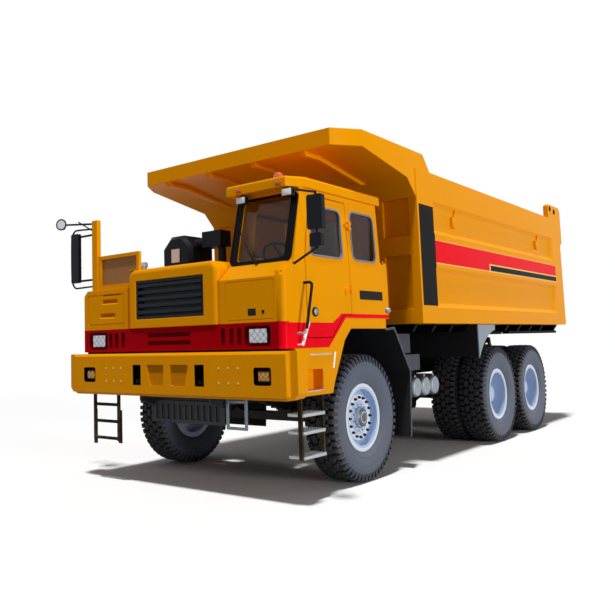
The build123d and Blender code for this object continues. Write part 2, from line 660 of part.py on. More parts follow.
# Ladders under the left step box and the right end of the bumper
left_tread_x = (nose_x - 680, nose_x - 310)
left_treads = [rail_bottom - 175, rail_bottom - 340, rail_bottom - 570]
right_ladder_y = (-1310, -900)
right_rungs = [bumper_bottom - 120, bumper_bottom - 310, bumper_bottom - 500]
tread_depth, tread_thick = 180, 28
with BuildPart() as access_ladders:
    for z in left_treads:
        block(left_tread_x, (cab_outer_y - tread_depth, cab_outer_y), (z - tread_thick / 2, z + tread_thick / 2))
    for x in left_tread_x:
        side_plate([(x - 12, left_treads[-1] - 25), (x + 12, left_treads[-1] - 25), (x + 12, rail_bottom),
                    (x - 12, rail_bottom)], (cab_outer_y - 60, cab_outer_y - 15))
    for z in right_rungs:
        bar((nose_x - 125, right_ladder_y[0], z), (nose_x - 125, right_ladder_y[1], z), 18)
    for y in right_ladder_y:
        block((nose_x - 145, nose_x - 105), (y - 9, y + 9), (right_rungs[-1] - 25, bumper_bottom))
keep(access_ladders, "access_ladders")

# Rubber mudguards behind the front wheels and winged sheet guards before the twins
flap_x = front_axle_x - tyre_radius - 301
flap_thick = 20
flap_inner = 640
guard_plate_x = mid_axle_x + tyre_radius + 85
wing_inner, wing_outer = 1570, 1590
wing_top = floor_bottom - 5
with BuildPart() as mudguards:
    for y in both((flap_inner, cab_outer_y)):
        side_plate([(cab_rear_x - 10, arch_rear[1] - 2), (cab_rear_x - 210, arch_rear[1] + 15), (flap_x, rail_bottom + 145),
                    (flap_x + 56, axle_z - 300), (flap_x + 56 + flap_thick, axle_z - 300),
                    (flap_x + flap_thick, rail_bottom + 140), (cab_rear_x - 200, arch_rear[1] - 5),
                    (cab_rear_x - 10, arch_rear[1] - 20)], y)
    for y in both((rail_outer, flap_inner)):
        block((flap_x + 186, flap_x + 266), y, (rail_bottom + 250, rail_bottom + 290))
    for y in both((rail_outer + 125, wing_outer)):
        block((guard_plate_x - flap_thick, guard_plate_x), y, (rail_bottom + 100, wing_top))
    for y in both((rail_outer, rail_outer + 205)):
        block((guard_plate_x - 60, guard_plate_x - flap_thick), y, (rail_top - 90, rail_top - 40))
    for side in (1, -1):
        with BuildSketch(Plane.XZ.offset(-max(side * wing_inner, side * wing_outer))) as wing:
            with BuildLine():
                Polyline((guard_plate_x - 790, wing_top), (guard_plate_x - flap_thick, wing_top),
                         (guard_plate_x - flap_thick, rail_bottom + 100))
                RadiusArc((guard_plate_x - flap_thick, rail_bottom + 100), (guard_plate_x - 790, wing_top), 760)
            make_face()
        extrude(wing.sketch, amount=wing_outer - wing_inner)
keep(mudguards, "mudguards")

# Lamps: head and fog lamps in their pockets, work lamps and markers under the roof edge, a beacon
beacon_x, beacon_y = cab_front_x - 610, driver_y - 40
with BuildPart() as lamps:
    with BuildSketch(Plane.YZ.offset(cab_front_x - 40)) as heads:
        with Locations((head_y, head_z), (-head_y, head_z)):
            RectangleRounded(head_width, head_height, 20)
    extrude(heads.sketch, amount=35)
    with BuildSketch(Plane.YZ.offset(nose_x - fog_depth)) as fogs:
        with Locations((fog_y, fog_z), (-fog_y, fog_z)):
            RectangleRounded(fog_width - 50, fog_height - 50, 20)
    extrude(fogs.sketch, amount=45)
    for y in (screen_y[0] + 25, screen_y[1] - 100):
        soft_block((roof_front_x, roof_front_x + 60), (y - 60, y + 60), (cab_eaves_z, cab_eaves_z + 75), 12)
    with BuildSketch(Plane.XZ.offset(-beacon_y)) as dome:
        with BuildLine():
            Polyline((beacon_x, roof_top + 150), (beacon_x, roof_top), (beacon_x + 75, roof_top),
                     (beacon_x + 75, roof_top + 25), (beacon_x + 60, roof_top + 30), (beacon_x + 55, roof_top + 110),
                     (beacon_x + 35, roof_top + 140), close=True)
        make_face()
    revolve(dome.sketch, axis=Axis((beacon_x, beacon_y, 0), (0, 0, 1)))
keep(lamps, "lamps")

# Front axle beam, dropped between its spring seats, with kingpins
kingpin_y = 960
kingpin_radius = 30
boss_radius = 75
boss_bottom = axle_z - 75
boss_top = axle_z + 75
beam_half = 60
seat_top = axle_z + 55
with BuildPart() as front_axle:
    cross_plate([(-kingpin_y, axle_z - 60), (-rail_outer - 60, axle_z - 75), (rail_outer + 60, axle_z - 75),
                 (kingpin_y, axle_z - 60), (kingpin_y, seat_top), (rail_inner - 90, seat_top),
                 (rail_inner - 150, axle_z + 20), (-rail_inner + 150, axle_z + 20), (-rail_inner + 90, seat_top),
                 (-kingpin_y, seat_top)], (front_axle_x - beam_half, front_axle_x + beam_half))
    for side in (1, -1):
        pin = (front_axle_x, side * kingpin_y)
        bar((*pin, boss_bottom), (*pin, boss_top), boss_radius)
        bar((*pin, boss_bottom - 60), (*pin, boss_top + 60), kingpin_radius)
keep(front_axle, "front_axle")

# Steering knuckles: a fork round the kingpin boss, with the spindle and the track-rod arm
ear_thick = 50
ear_radius = 60
knuckle_plate_y = kingpin_y + boss_radius + move_gap
knuckle_plate = 40
spindle_radius = 50
front_spindle_tip = front_half_track + 75.5
arm_length = 280
arm_thick = 30
ear_low = boss_bottom - move_gap
ear_high = boss_top + move_gap
arm_top = ear_low - ear_thick
ball_radius = 20
ball_x = front_axle_x - arm_length
for side, name in ((1, "knuckle_left"), (-1, "knuckle_right")):
    pin = (front_axle_x, side * kingpin_y)
    ball = (ball_x, side * kingpin_y)
    with BuildPart() as knuckle:
        for low, high in ((ear_low - ear_thick, ear_low), (ear_high, ear_high + ear_thick)):
            bar((*pin, low), (*pin, high), ear_radius)
            block((front_axle_x - ear_radius, front_axle_x + ear_radius),
                  (side * kingpin_y, side * knuckle_plate_y), (low, high))
        block((front_axle_x - 70, front_axle_x + 70), (side * knuckle_plate_y, side * (knuckle_plate_y + knuckle_plate)),
              (ear_low - ear_thick, ear_high + ear_thick))
        bar((front_axle_x, side * (knuckle_plate_y + knuckle_plate), axle_z),
            (front_axle_x, side * front_spindle_tip, axle_z), spindle_radius)
        flat_plate([(front_axle_x + 40, side * (kingpin_y - 45)), (front_axle_x + 40, side * (kingpin_y + 45)),
                    (ball_x - 35, side * (kingpin_y + 28)), (ball_x - 35, side * (kingpin_y - 28))],
                   (arm_top - arm_thick, arm_top))
        bar((*ball, arm_top), (*ball, arm_top + 48), ball_radius)
        bar((*pin, arm_top - arm_thick - 1), (*pin, ear_high + ear_thick + 1), kingpin_radius + run_gap,
            mode=Mode.SUBTRACT)
    keep(knuckle, name)

with BuildPart() as track_rod:
    for side in (1, -1):
        bar((ball_x, side * kingpin_y, arm_top + 4), (ball_x, side * kingpin_y, arm_top + 44), 42)
    bar((ball_x, -kingpin_y, arm_top + 24), (ball_x, kingpin_y, arm_top + 24), 18)
    for side in (1, -1):
        bar((ball_x, side * kingpin_y, arm_top), (ball_x, side * kingpin_y, arm_top + 60), ball_radius + run_gap,
            mode=Mode.SUBTRACT)
keep(track_rod, "track_rod")

# Springs: leaf packs as stepped arcs, with their hangers, clamps and the bogie's trunnion
leaf_thick = 20
front_leaves = [250, 350, 450, 550, 650]
front_rise = 60
bogie_leaves = [820, 760, 660, 560, 460, 360, 260]
bogie_rise = 90
bogie_spring_low = axle_z + 255
spring_inner = rail_outer + 30
spring_outer = spring_inner + 100


def leaf_pack(middle_x, first_z, half_lengths, rise, y, upward):
    """Leaves stacked from first_z, bent so that the longest one's ends move by rise."""
    bend = max(half_lengths) ** 2 / (2 * rise)
    for i, half in enumerate(half_lengths):
        low = first_z + i * leaf_thick
        high = low + leaf_thick
        lift = upward * half * half / (2 * bend)
        with BuildSketch(Plane.XZ.offset(-max(y))) as leaf:
            with BuildLine():
                ThreePointArc((middle_x - half, low + lift), (middle_x, low), (middle_x + half, low + lift))
                Line((middle_x + half, low + lift), (middle_x + half, high + lift))
                ThreePointArc((middle_x + half, high + lift), (middle_x, high), (middle_x - half, high + lift))
                Line((middle_x - half, high + lift), (middle_x - half, low + lift))
            make_face()
        extrude(leaf.sketch, amount=abs(y[1] - y[0]))


def spring_low(distance):
    """Height of the bogie spring's lower face at a distance from its middle."""
    half = bogie_leaves[0]
    bend = (half ** 2 + bogie_rise ** 2) / (2 * bogie_rise)
    return bogie_spring_low - bend + sqrt(bend ** 2 - distance ** 2)


with BuildPart() as springs:
    for y in both((rail_inner, rail_outer)):
        leaf_pack(front_axle_x, seat_top, front_leaves, front_rise, y, 1)
        for x in (front_axle_x - 640, front_axle_x + 640):
            side_plate([(x - 25, axle_z + 185), (x + 25, axle_z + 185), (x + 45, rail_bottom), (x - 45, rail_bottom)], y)
        for x in (front_axle_x - 90, front_axle_x + 90):
            block((x - 12, x + 12), (y[0] * 0.97, y[1] * 1.02), (seat_top - 40, seat_top + 125))
    for y in both((spring_inner, spring_outer)):
        leaf_pack(bogie_x, bogie_spring_low, bogie_leaves, bogie_rise, y, -1)
        block((bogie_x - 120, bogie_x + 120), y, (axle_z + 95, bogie_spring_low))
    for y in both((rail_inner, spring_inner)):
        block((bogie_x - 120, bogie_x + 120), y, (axle_z + 95, rail_bottom))
    bar((bogie_x, -spring_outer - 20, axle_z + 175), (bogie_x, spring_outer + 20, axle_z + 175), 70)
keep(springs, "springs")

# Wheels: lugged tyres with flat facets, dished rims, single in front and twinned behind
tyre_half = tyre_width / 2
tread_half = tyre_half - 18
base_radius = tyre_radius - lug_depth
lug_span, lug_sweep = 100, 55
tyre_rings = [  # distance from the tyre's middle plane, distance of the flats from the axle
    (-rim_width / 2, flange_radius), (-tyre_half, bulge_radius), (-tread_half, base_radius),
    (tread_half, base_radius), (tyre_half, bulge_radius), (rim_width / 2, flange_radius)]

with BuildPart() as tyre_lug:
    with BuildSketch(Plane.YZ.offset(base_radius - 8)) as chevron:
        with BuildLine():
            Polyline((-lug_span / 2 - lug_sweep / 2, -tread_half), (lug_span / 2 - lug_sweep / 2, -tread_half),
                     (lug_span / 2 + lug_sweep / 2, 0), (lug_span / 2 - lug_sweep / 2, tread_half),
                     (-lug_span / 2 - lug_sweep / 2, tread_half), (-lug_span / 2 + lug_sweep / 2, 0), close=True)
        make_face()
    extrude(amount=lug_depth + 8)

with BuildPart(Plane.XZ) as tyre_form:
    rings = []
    for offset_y, apothem in tyre_rings:
        with BuildSketch(Plane.XZ.offset(offset_y)) as ring:
            RegularPolygon(apothem, lug_count, major_radius=False)
        rings.append(ring.sketch.faces()[0])
    loft(sections=rings, ruled=True)
    with BuildSketch(Plane.XZ.offset(-tyre_half)) as bead:
        RegularPolygon(bead_radius, lug_count, major_radius=False)
    extrude(bead.sketch, amount=tyre_width, mode=Mode.SUBTRACT)
    with PolarLocations(0, lug_count, start_angle=180 / lug_count):
        add(tyre_lug.part)


well_radius = bead_radius - rim_wall
rim_half = rim_width / 2
lip = rim_half + flange_thick
bore_radius = spindle_radius + run_gap
vent_ring, vent_radius, vent_count = 282, 13, 14


def rim_barrel(x, y, side):
    """A rim's barrel with the two flanges that hold the beads."""
    turned([(-lip, flange_radius), (-lip, well_radius), (lip, well_radius), (lip, flange_radius),
            (rim_half, flange_radius), (rim_half, bead_radius), (-rim_half, bead_radius), (-rim_half, flange_radius)],
           (x, y, axle_z), side)


for side, name in ((1, "front_left"), (-1, "front_right")):
    y = side * front_half_track
    cap_bore = front_spindle_tip + move_gap - front_half_track
    with BuildPart() as tyre:
        with Locations((front_axle_x, y, axle_z)):
            add(tyre_form.part)
    keep(tyre, f"{name}_tyre")
    with BuildPart() as rim:
        rim_barrel(front_axle_x, y, side)
        turned([(10, well_radius), (10, bore_radius), (cap_bore, bore_radius), (cap_bore, 0), (150, 0), (150, 60),
                (132, 100), (95, 112), (95, 150), (82, 160), (82, 250), (60, 262), (40, well_radius)],
               (front_axle_x, y, axle_z), side)
        with BuildSketch(Plane.XZ.offset(-y)) as vents:
            with Locations((front_axle_x, axle_z)):
                with PolarLocations(vent_ring, vent_count):
                    Circle(vent_radius)
        extrude(vents.sketch, amount=100, both=True, mode=Mode.SUBTRACT)
    keep(rim, f"{name}_rim")

rear_spindle_tip = rear_half_track - 62.5
for x, row in ((mid_axle_x, "mid"), (rear_axle_x, "rear")):
    for side, hand in ((1, "left"), (-1, "right")):
        outer_y = side * rear_half_track
        inner_y = side * (rear_half_track - twin_spacing)
        cap_bore = rear_spindle_tip + move_gap - rear_half_track
        with BuildPart() as tyres:
            with Locations((x, outer_y, axle_z), (x, inner_y, axle_z)):
                add(tyre_form.part)
        keep(tyres, f"{row}_{hand}_tyres")
        with BuildPart() as rims:
            rim_barrel(x, outer_y, side)
            rim_barrel(x, inner_y, side)
            turned([(-100, well_radius), (-100, bore_radius), (cap_bore, bore_radius), (cap_bore, 0), (55, 0),
                    (55, 80), (40, 118), (-40, 135), (-50, 160), (-50, 250), (-72, well_radius)],
                   (x, outer_y, axle_z), side)
            turned([(-120, bore_radius), (-120, 240), (60, 240), (100, well_radius),
                    (twin_spacing - 100, well_radius), (twin_spacing - 100, bore_radius)], (x, inner_y, axle_z), side)
        keep(rims, f"{row}_{hand}_rims")

# Driven axles: banjo housings with spring seats, brake flanges and pinion noses
brake_flange_y = spring_outer + 5
banjo_radius, tube_radius = 205, 95
pinion_z = axle_z + 95
pinion_reach = 260
with BuildPart() as drive_axles:
    for x in (mid_axle_x, rear_axle_x):
        turned([(-brake_flange_y, 0), (-brake_flange_y, tube_radius), (-300, tube_radius), (-150, banjo_radius),
                (150, banjo_radius), (300, tube_radius), (brake_flange_y, tube_radius), (brake_flange_y, 0)],
               (x, 0, axle_z))
        for side in (1, -1):
            end = bogie_leaves[0] if x > bogie_x else -bogie_leaves[0]
            near = end - 140 if x > bogie_x else end + 140
            side_plate([(bogie_x + near, axle_z + 60), (bogie_x + near, spring_low(near)),
                        (bogie_x + end, spring_low(end)), (bogie_x + end, axle_z + 60)],
                       (side * spring_inner, side * spring_outer))
            bar((x, side * (brake_flange_y - 20), axle_z), (x, side * rear_spindle_tip, axle_z), spindle_radius)
            bar((x, side * brake_flange_y, axle_z), (x, side * (brake_flange_y + 20), axle_z), 190)
    bar((mid_axle_x, 0, pinion_z), (mid_axle_x + pinion_reach, 0, pinion_z), 85)
    bar((rear_axle_x + 150, 0, axle_z + 15), (mid_axle_x - 150, 0, axle_z + 15), 45)
keep(drive_axles, "drive_axles")

# Engine, gearbox and propeller shaft
engine_x = (front_axle_x - 60, cab_front_x - 410)
engine_top = band_top + 235
gearbox_x = (engine_x[0] - 900, engine_x[0])
with BuildPart() as engine:
    block(engine_x, (-340, 340), (axle_z + 175, engine_top))
keep(engine, "engine")

shaft_z = axle_z + 295
with BuildPart() as powertrain:
    side_plate([(gearbox_x[0], shaft_z - 90), (gearbox_x[0] + 250, axle_z + 195), (gearbox_x[1], axle_z + 195),
                (gearbox_x[1], rail_top - 60), (gearbox_x[0] + 350, rail_top - 60), (gearbox_x[0], shaft_z + 120)],
               (-240, 240))
    bar((gearbox_x[0] + 60, 0, shaft_z), (mid_axle_x + pinion_reach - 100, 0, pinion_z), 55)
    bar((mid_axle_x + pinion_reach, 0, pinion_z), (mid_axle_x + pinion_reach + 40, 0, pinion_z), 85)
    block((mid_axle_x, mid_axle_x + pinion_reach), (-200, 200), (axle_z - 85, axle_z + 215), mode=Mode.SUBTRACT)
keep(powertrain, "powertrain")

# Tanks and boxes hung on the rails: three air tanks and valve boxes left, fuel and battery right
air_tank_radius, air_tank_length = 125, 790
air_tanks = [mid_axle_x + 2220, mid_axle_x + 1960, mid_axle_x + 1700]
air_z = axle_z + 230
fuel_x = (mid_axle_x + 1140, front_axle_x - 1260)
battery_x = (mid_axle_x + 820, mid_axle_x + 1060)
tank_inner = rail_outer + 65
with BuildPart() as tanks:
    for x in air_tanks:
        turned([(0, 0), (0, air_tank_radius - 45), (12, air_tank_radius - 15), (40, air_tank_radius),
                (air_tank_length - 40, air_tank_radius), (air_tank_length - 12, air_tank_radius - 15),
                (air_tank_length, air_tank_radius - 45), (air_tank_length, 0)], (x, tank_inner, air_z))
    for x in air_tanks:
        block((x - 20, x + 20), (tank_inner + 40, tank_inner + air_tank_length - 40),
              (air_z + air_tank_radius - 10, air_z + air_tank_radius + 20))
        block((x - 20, x + 20), (rail_outer, tank_inner + 40), (rail_bottom + 40, rail_bottom + 90))
    block((air_tanks[-1] - 160, air_tanks[0] + 160), (rail_outer, rail_outer + 145), (rail_bottom + 40, rail_bottom + 90))
    soft_block(fuel_x, (-1330, -tank_inner), (axle_z + 15, rail_top - 90), 60)
    block(battery_x, (-1250, -tank_inner), (axle_z + 75, rail_top - 90))
    for x in (fuel_x[0] + 200, fuel_x[1] - 200, (battery_x[0] + battery_x[1]) / 2):
        block((x - 40, x + 40), (-tank_inner, -rail_outer), (rail_bottom + 60, rail_bottom + 200))
    block((mid_axle_x + 2050, mid_axle_x + 2550), (rail_outer, 1180), (rail_top - 40, bearer_bottom - 15))
    block((mid_axle_x + 1920, mid_axle_x + 2400), (rail_outer, 1240), (rail_bottom + 120, rail_top - 60))
keep(tanks, "tanks")

# Air cleaner: an eight-sided housing on the right deck, with its duct box and down pipe
cleaner_x = (front_axle_x + 90, front_axle_x + 490)
cleaner_y, cleaner_z, cleaner_half = -910, deck_top + 460, 260
duct_y, duct_z = (-545, -240), (deck_top + 535, deck_top + 733)
with BuildPart() as air_cleaner:
    with BuildSketch(Plane.YZ.offset(cleaner_x[0])) as housing:
        with Locations((cleaner_y, cleaner_z)):
            RegularPolygon(cleaner_half, 8, major_radius=False, rotation=22.5)
    extrude(amount=cleaner_x[1] - cleaner_x[0])
    chamfer(air_cleaner.faces().sort_by(Axis.X)[-1].edges(), 45)
    block((cleaner_x[0] + 100, cleaner_x[1] - 100), (cleaner_y - 100, cleaner_y + 100), (deck_top, cleaner_z))
    block((cleaner_x[0] + 110, cleaner_x[0] + 310), duct_y, duct_z)
    bar((cleaner_x[0] + 210, cleaner_y, duct_z[0] + 70), (cleaner_x[0] + 210, duct_y[0] + 20, duct_z[0] + 70), 65)
    bar((cleaner_x[0] + 210, -300, engine_top), (cleaner_x[0] + 210, -300, duct_z[0]), 50)
keep(air_cleaner, "air_cleaner")

# Mirrors: two moulded heads on a pole at the left, a framed one and a round one at the right
mirror_x, mirror_y = cab_front_x - 45, cab_outer_y + 360
mirror_half = cab_outer_y + 440
frame_y = -cab_outer_y - 140
with BuildPart() as mirrors:
    soft_block((mirror_x - 25, mirror_x + 30), (mirror_half - 165, mirror_half),
               (window_low + 180, window_low + 500), 20)
    soft_block((mirror_x - 25, mirror_x + 30), (mirror_half - 145, mirror_half - 20),
               (window_low + 20, window_low + 145), 20)
    bar((mirror_x, mirror_y, window_low + 5), (mirror_x, mirror_y, window_low + 530), 12)
    bar((mirror_x, mirror_y, window_low + 525), (cab_front_x - 350, cab_roof_side_y - 20, window_high + 120), 12)
    bar((mirror_x, mirror_y, window_low + 15), (cab_front_x - 200, cab_outer_y - 30, window_low - 100), 12)
    cross_plate(cab_section, (cab_rear_x - rear_step, cab_front_x), mode=Mode.SUBTRACT)
    soft_block((guard_face_x - 35, guard_face_x + 12), (frame_y - 40, frame_y + 100),
               (deck_top + 120, deck_top + 720), 20)
    bent_tube([(guard_face_x - 20, post_y[0], deck_top + 680), (guard_face_x - 20, frame_y, deck_top + 680),
               (guard_face_x - 20, frame_y, deck_top + 140), (guard_face_x - 20, post_y[0], deck_top + 140)], 60, 13)
    bar((guard_face_x - 20, post_y[0], post_top - 30), (guard_face_x - 10, frame_y - 240, post_top + 30), 12)
    bar((guard_face_x - 28, -mirror_half + 60, post_top + 30), (guard_face_x + 15, -mirror_half + 60, post_top + 30), 60)
    bar((guard_face_x + 15, -mirror_half + 60, post_top + 30), (guard_face_x + 27, -mirror_half + 60, post_top + 30), 46)
    block((guard_face_x - 60, guard_face_x + 20), post_y, (deck_top, post_top), mode=Mode.SUBTRACT)
keep(mirrors, "mirrors")

grab_y = cab_outer_y + 100
with BuildPart() as handrails:
    bent_tube([(cab_front_x - 335, cab_outer_y, band_top + 375), (cab_front_x - 335, grab_y, band_top + 375),
               (cab_front_x - 200, grab_y, band_top - 115), (cab_front_x - 200, cab_outer_y, band_top - 115)], 40, 14)
keep(handrails, "handrails")

with BuildPart() as tail_bar:
    block((rail_tail - 40, rail_tail), (-1100, 1100), (rail_bottom + 10, rail_bottom + 110))
    for y in both((780, 1080)):
        soft_block((rail_tail - 90, rail_tail - 40), y, (rail_bottom, rail_bottom + 120), 12)
keep(tail_bar, "tail_bar")

# Body floor and sides: a deep top rail, a belt, a bottom rail and the recessed panels between them
with BuildPart() as bed_floor:
    block((side_rear_x, side_front_x - side_thick), (-side_inner, side_inner), (floor_bottom, floor_top))
keep(bed_floor, "bed_floor")

ear_front_x = tail_x + 720
ear_top = side_top + 250
gate_pivot_x = tail_x + 370
gate_pivot_z = ear_top - 110
gate_pin_radius = 25
panel_depth = 42
panel_slope = 55
panel_front_x = side_front_x - 450
ledge_z = floor_bottom + 200
belt_z = (ledge_z + 500, side_top - 770)
post_width = 115
side_panels = [  # outline of each recess at the outer face
    [(panel_front_x, belt_z[1]), (panel_front_x, wall_top), (tail_x + 650, wall_top), (tail_x + 600, belt_z[1])],
    [(panel_front_x, ledge_z), (panel_front_x, belt_z[0]), (tail_x + 570, belt_z[0]), (tail_x + 560, ledge_z)],
]
with BuildPart() as bed_sides:
    for side in (1, -1):
        face_y = side * body_half
        side_plate([(side_rear_x, floor_bottom), (side_front_x, floor_bottom), (side_front_x, side_top),
                    (ear_front_x, side_top), (ear_front_x, ear_top - 40), (ear_front_x - 60, ear_top),
                    (tail_x + 80, ear_top), (tail_x, ear_top - 60), (tail_x, wall_top - 40),
                    (tail_x + 105, wall_top - 95)], (side * side_inner, face_y))
        for outline in side_panels:
            faces = []
            for corners, y in ((outline, face_y), (grown(outline, -panel_slope, -panel_slope),
                                                   face_y - side * panel_depth)):
                with BuildSketch(Plane.XZ.offset(-y)) as rim_line:
                    with BuildLine():
                        Polyline(*corners, close=True)
                    make_face()
                faces.append(rim_line.sketch.faces()[0])
            loft(sections=faces, ruled=True, mode=Mode.SUBTRACT)
        for x in (panel_front_x - 720, tail_x + 1380):
            cross_plate([(side * (body_half - panel_depth), wall_top - 45), (side * (body_half - 4), wall_top - 20),
                         (side * (body_half - panel_depth), wall_top - 170)], (x - 8, x + 8))
        block((side_front_x - side_thick, side_front_x), (side * (body_half - post_width), side * side_inner),
              (floor_bottom, wall_top))
        bar((gate_pivot_x, side * side_inner, gate_pivot_z), (gate_pivot_x, side * (side_inner - 95), gate_pivot_z),
            gate_pin_radius)
keep(bed_sides, "bed_sides")

wall_half = body_half - post_width
rib_depth = 40
rib_y = [-1130, -380, 380, 1130]
with BuildPart() as bed_front_wall:
    block((side_front_x - side_thick, side_front_x - rib_depth), (-wall_half, wall_half), (floor_bottom, wall_top))
    for y in rib_y:
        block((side_front_x - rib_depth, side_front_x - 5), (y - 45, y + 45), (floor_bottom, wall_top))
    for z in ((floor_bottom, ledge_z - 20), (belt_z[0] + 140, belt_z[1] - 50)):
        block((side_front_x - rib_depth, side_front_x), (-wall_half, wall_half), z)
keep(bed_front_wall, "bed_front_wall")

# Canopy: a raked sheet with box edges, a deep nose and stiffening ribs underneath
canopy_half = body_half - 10
canopy_nose_half = canopy_half - 218
canopy_corner_x = canopy_front_x - 320
rake_top = (side_front_x + 210, wall_top + 205)
slope_top_x = side_front_x - 250
rib_drop = 55
canopy_ribs = [-1050, -350, 350, 1050]
with BuildPart() as bed_canopy:
    side_plate([(side_front_x - side_thick, wall_top), (side_front_x, wall_top), rake_top,
                (canopy_corner_x, canopy_bottom), (canopy_front_x, canopy_bottom), (canopy_front_x, canopy_top),
                (canopy_front_x - canopy_sheet, canopy_top),
                (canopy_front_x - canopy_sheet, canopy_bottom + canopy_sheet),
                (canopy_corner_x, canopy_bottom + canopy_sheet), (rake_top[0] - 15, rake_top[1] + 42),
                (side_front_x - side_thick, wall_top + canopy_sheet)], (-side_inner, side_inner))
    for side in (1, -1):
        side_plate([(slope_top_x - 190, side_top), (slope_top_x, canopy_top), (canopy_front_x, canopy_top),
                    (canopy_front_x, canopy_bottom), (canopy_corner_x, canopy_bottom), rake_top,
                    (side_front_x, wall_top), (side_front_x, side_top)], (side * side_inner, side * canopy_half))
    for y in canopy_ribs:
        side_plate([rake_top, (canopy_corner_x, canopy_bottom), (canopy_front_x, canopy_bottom),
                    (canopy_front_x - canopy_sheet, canopy_bottom - rib_drop), (canopy_corner_x, canopy_bottom - rib_drop),
                    (rake_top[0] + 120, rake_top[1] - 25)], (y - 35, y + 35))
    flat_plate([(slope_top_x - 1420, canopy_half + 50), (canopy_corner_x, canopy_half),
                (canopy_front_x, canopy_nose_half), (canopy_front_x, -canopy_nose_half),
                (canopy_corner_x, -canopy_half), (slope_top_x - 1420, -canopy_half - 50)],
               (floor_bottom, canopy_top + 100), mode=Mode.INTERSECT)
    for side in (1, -1):
        flat_plate([(canopy_corner_x, side * canopy_half), (canopy_front_x, side * canopy_nose_half),
                    (canopy_front_x - 60, side * canopy_nose_half), (canopy_corner_x - 60, side * side_inner)],
                   (canopy_bottom + canopy_sheet, canopy_top))
keep(bed_canopy, "bed_canopy")

# Underframe: two long beams on the frame's pads, cross bearers, hinge lugs and hoist cheeks
hoist_cheek = 20
cheek_spots = (hoist_y - eye_half - move_gap - hoist_cheek, hoist_y + eye_half + move_gap)
skid_y = (rail_inner + 11, rail_outer - 11)
outrigger_y = (1350, 1450)
bearer_spots = (spread(side_front_x - 130, hoist_top_x + 240, 4) + spread(hoist_top_x - 200, hinge_x + 120, 6)
                + [tail_x + 190])
with BuildPart() as bed_underframe:
    for side in (1, -1):
        beam = (side * rail_inner, side * rail_outer)
        lug_y = (side * (rail_middle - hinge_lug_half), side * (rail_middle + hinge_lug_half))
        block((hinge_x + hinge_lug_length, side_front_x - 100), beam, (beam_bottom, bearer_bottom))
        block((hinge_x, hinge_x + hinge_lug_length), lug_y, (hinge_z - hinge_lug_radius, bearer_bottom))
        bar((hinge_x, lug_y[0], hinge_z), (hinge_x, lug_y[1], hinge_z), hinge_lug_radius)
        block((tail_x + 130, hinge_x + hinge_lug_length), (side * skid_y[0], side * skid_y[1]),
              (bearer_bottom - 40, bearer_bottom))
        block((tail_x + 60, mid_axle_x - 850), (side * outrigger_y[0], side * outrigger_y[1]),
              (bearer_bottom - 44, bearer_bottom))
        for low in cheek_spots:
            side_plate([(hoist_top_x - 60, hoist_top_z - 50), (hoist_top_x + 60, hoist_top_z - 50),
                        (hoist_top_x + 140, floor_bottom), (hoist_top_x - 140, floor_bottom)],
                       (side * low, side * (low + hoist_cheek)))
        bar((hoist_top_x, side * (hoist_y - eye_half - move_gap), hoist_top_z),
            (hoist_top_x, side * (hoist_y + eye_half + move_gap), hoist_top_z), hoist_pin_radius)
    for x in bearer_spots:
        cross_plate([(-1500, floor_bottom), (-1440, bearer_bottom), (1440, bearer_bottom), (1500, floor_bottom)],
                    (x - 40, x + 40))
    for side in (1, -1):
        bar((hinge_x, side * (rail_inner - 25), hinge_z), (hinge_x, side * (rail_outer + 25), hinge_z),
            hinge_pin_radius + run_gap, mode=Mode.SUBTRACT)
keep(bed_underframe, "bed_underframe")

# Tailgate: a ribbed plate hung from two arms on pins in the body's ears
gate_gap = 10
gate_x = (side_rear_x + 5, side_rear_x + 75)
gate_z = (floor_top + move_gap, side_top - 40)
gate_rib_depth = 45
gate_ribs_y = [-1300, -650, 0, 650, 1300]
with BuildPart() as tailgate:
    block(gate_x, (-side_inner + gate_gap, side_inner - gate_gap), gate_z)
    for y in gate_ribs_y:
        block((gate_x[0] - gate_rib_depth, gate_x[0]), (y - 45, y + 45), (gate_z[0] + 60, gate_z[1] - 60))
    for z in (gate_z[0] + 120, (gate_z[0] + gate_z[1]) / 2, gate_z[1] - 120):
        block((gate_x[0] - gate_rib_depth, gate_x[0]), (gate_ribs_y[0], gate_ribs_y[-1]), (z - 55, z + 55))
    for side in (1, -1):
        arm_y = (side * (side_inner - 20), side * (side_inner - 80))
        side_plate([(gate_x[0], side_top - 300), (gate_x[1], side_top - 300), (gate_pivot_x + 45, gate_pivot_z),
                    (gate_pivot_x, gate_pivot_z + 50), (gate_pivot_x - 60, gate_pivot_z + 40),
                    (gate_x[0], side_top - 60)], arm_y)
        bar((gate_pivot_x, arm_y[0], gate_pivot_z), (gate_pivot_x, arm_y[1], gate_pivot_z),
            gate_pin_radius + run_gap, mode=Mode.SUBTRACT)
keep(tailgate, "tailgate")

# Twin telescopic hoist on a common trunnion, three stages in each barrel
hoist_run = hypot(hoist_top_x - trunnion_x, hoist_top_z - trunnion_z)
hoist_dir = Vector((hoist_top_x - trunnion_x) / hoist_run, 0, (hoist_top_z - trunnion_z) / hoist_run)
barrel_radius, stage_1_radius, stage_2_radius, rod_radius = 100, 88, 74, 60
gland_radius, gland_length = 108, 45
barrel_foot, barrel_head = -60, hoist_run - 146
trunnion_shoulder = barrel_radius - 10.5


def along(distance, y):
    """A point on a ram's axis, that far from its trunnion."""
    return (trunnion_x + distance * hoist_dir.X, y, trunnion_z + distance * hoist_dir.Z)


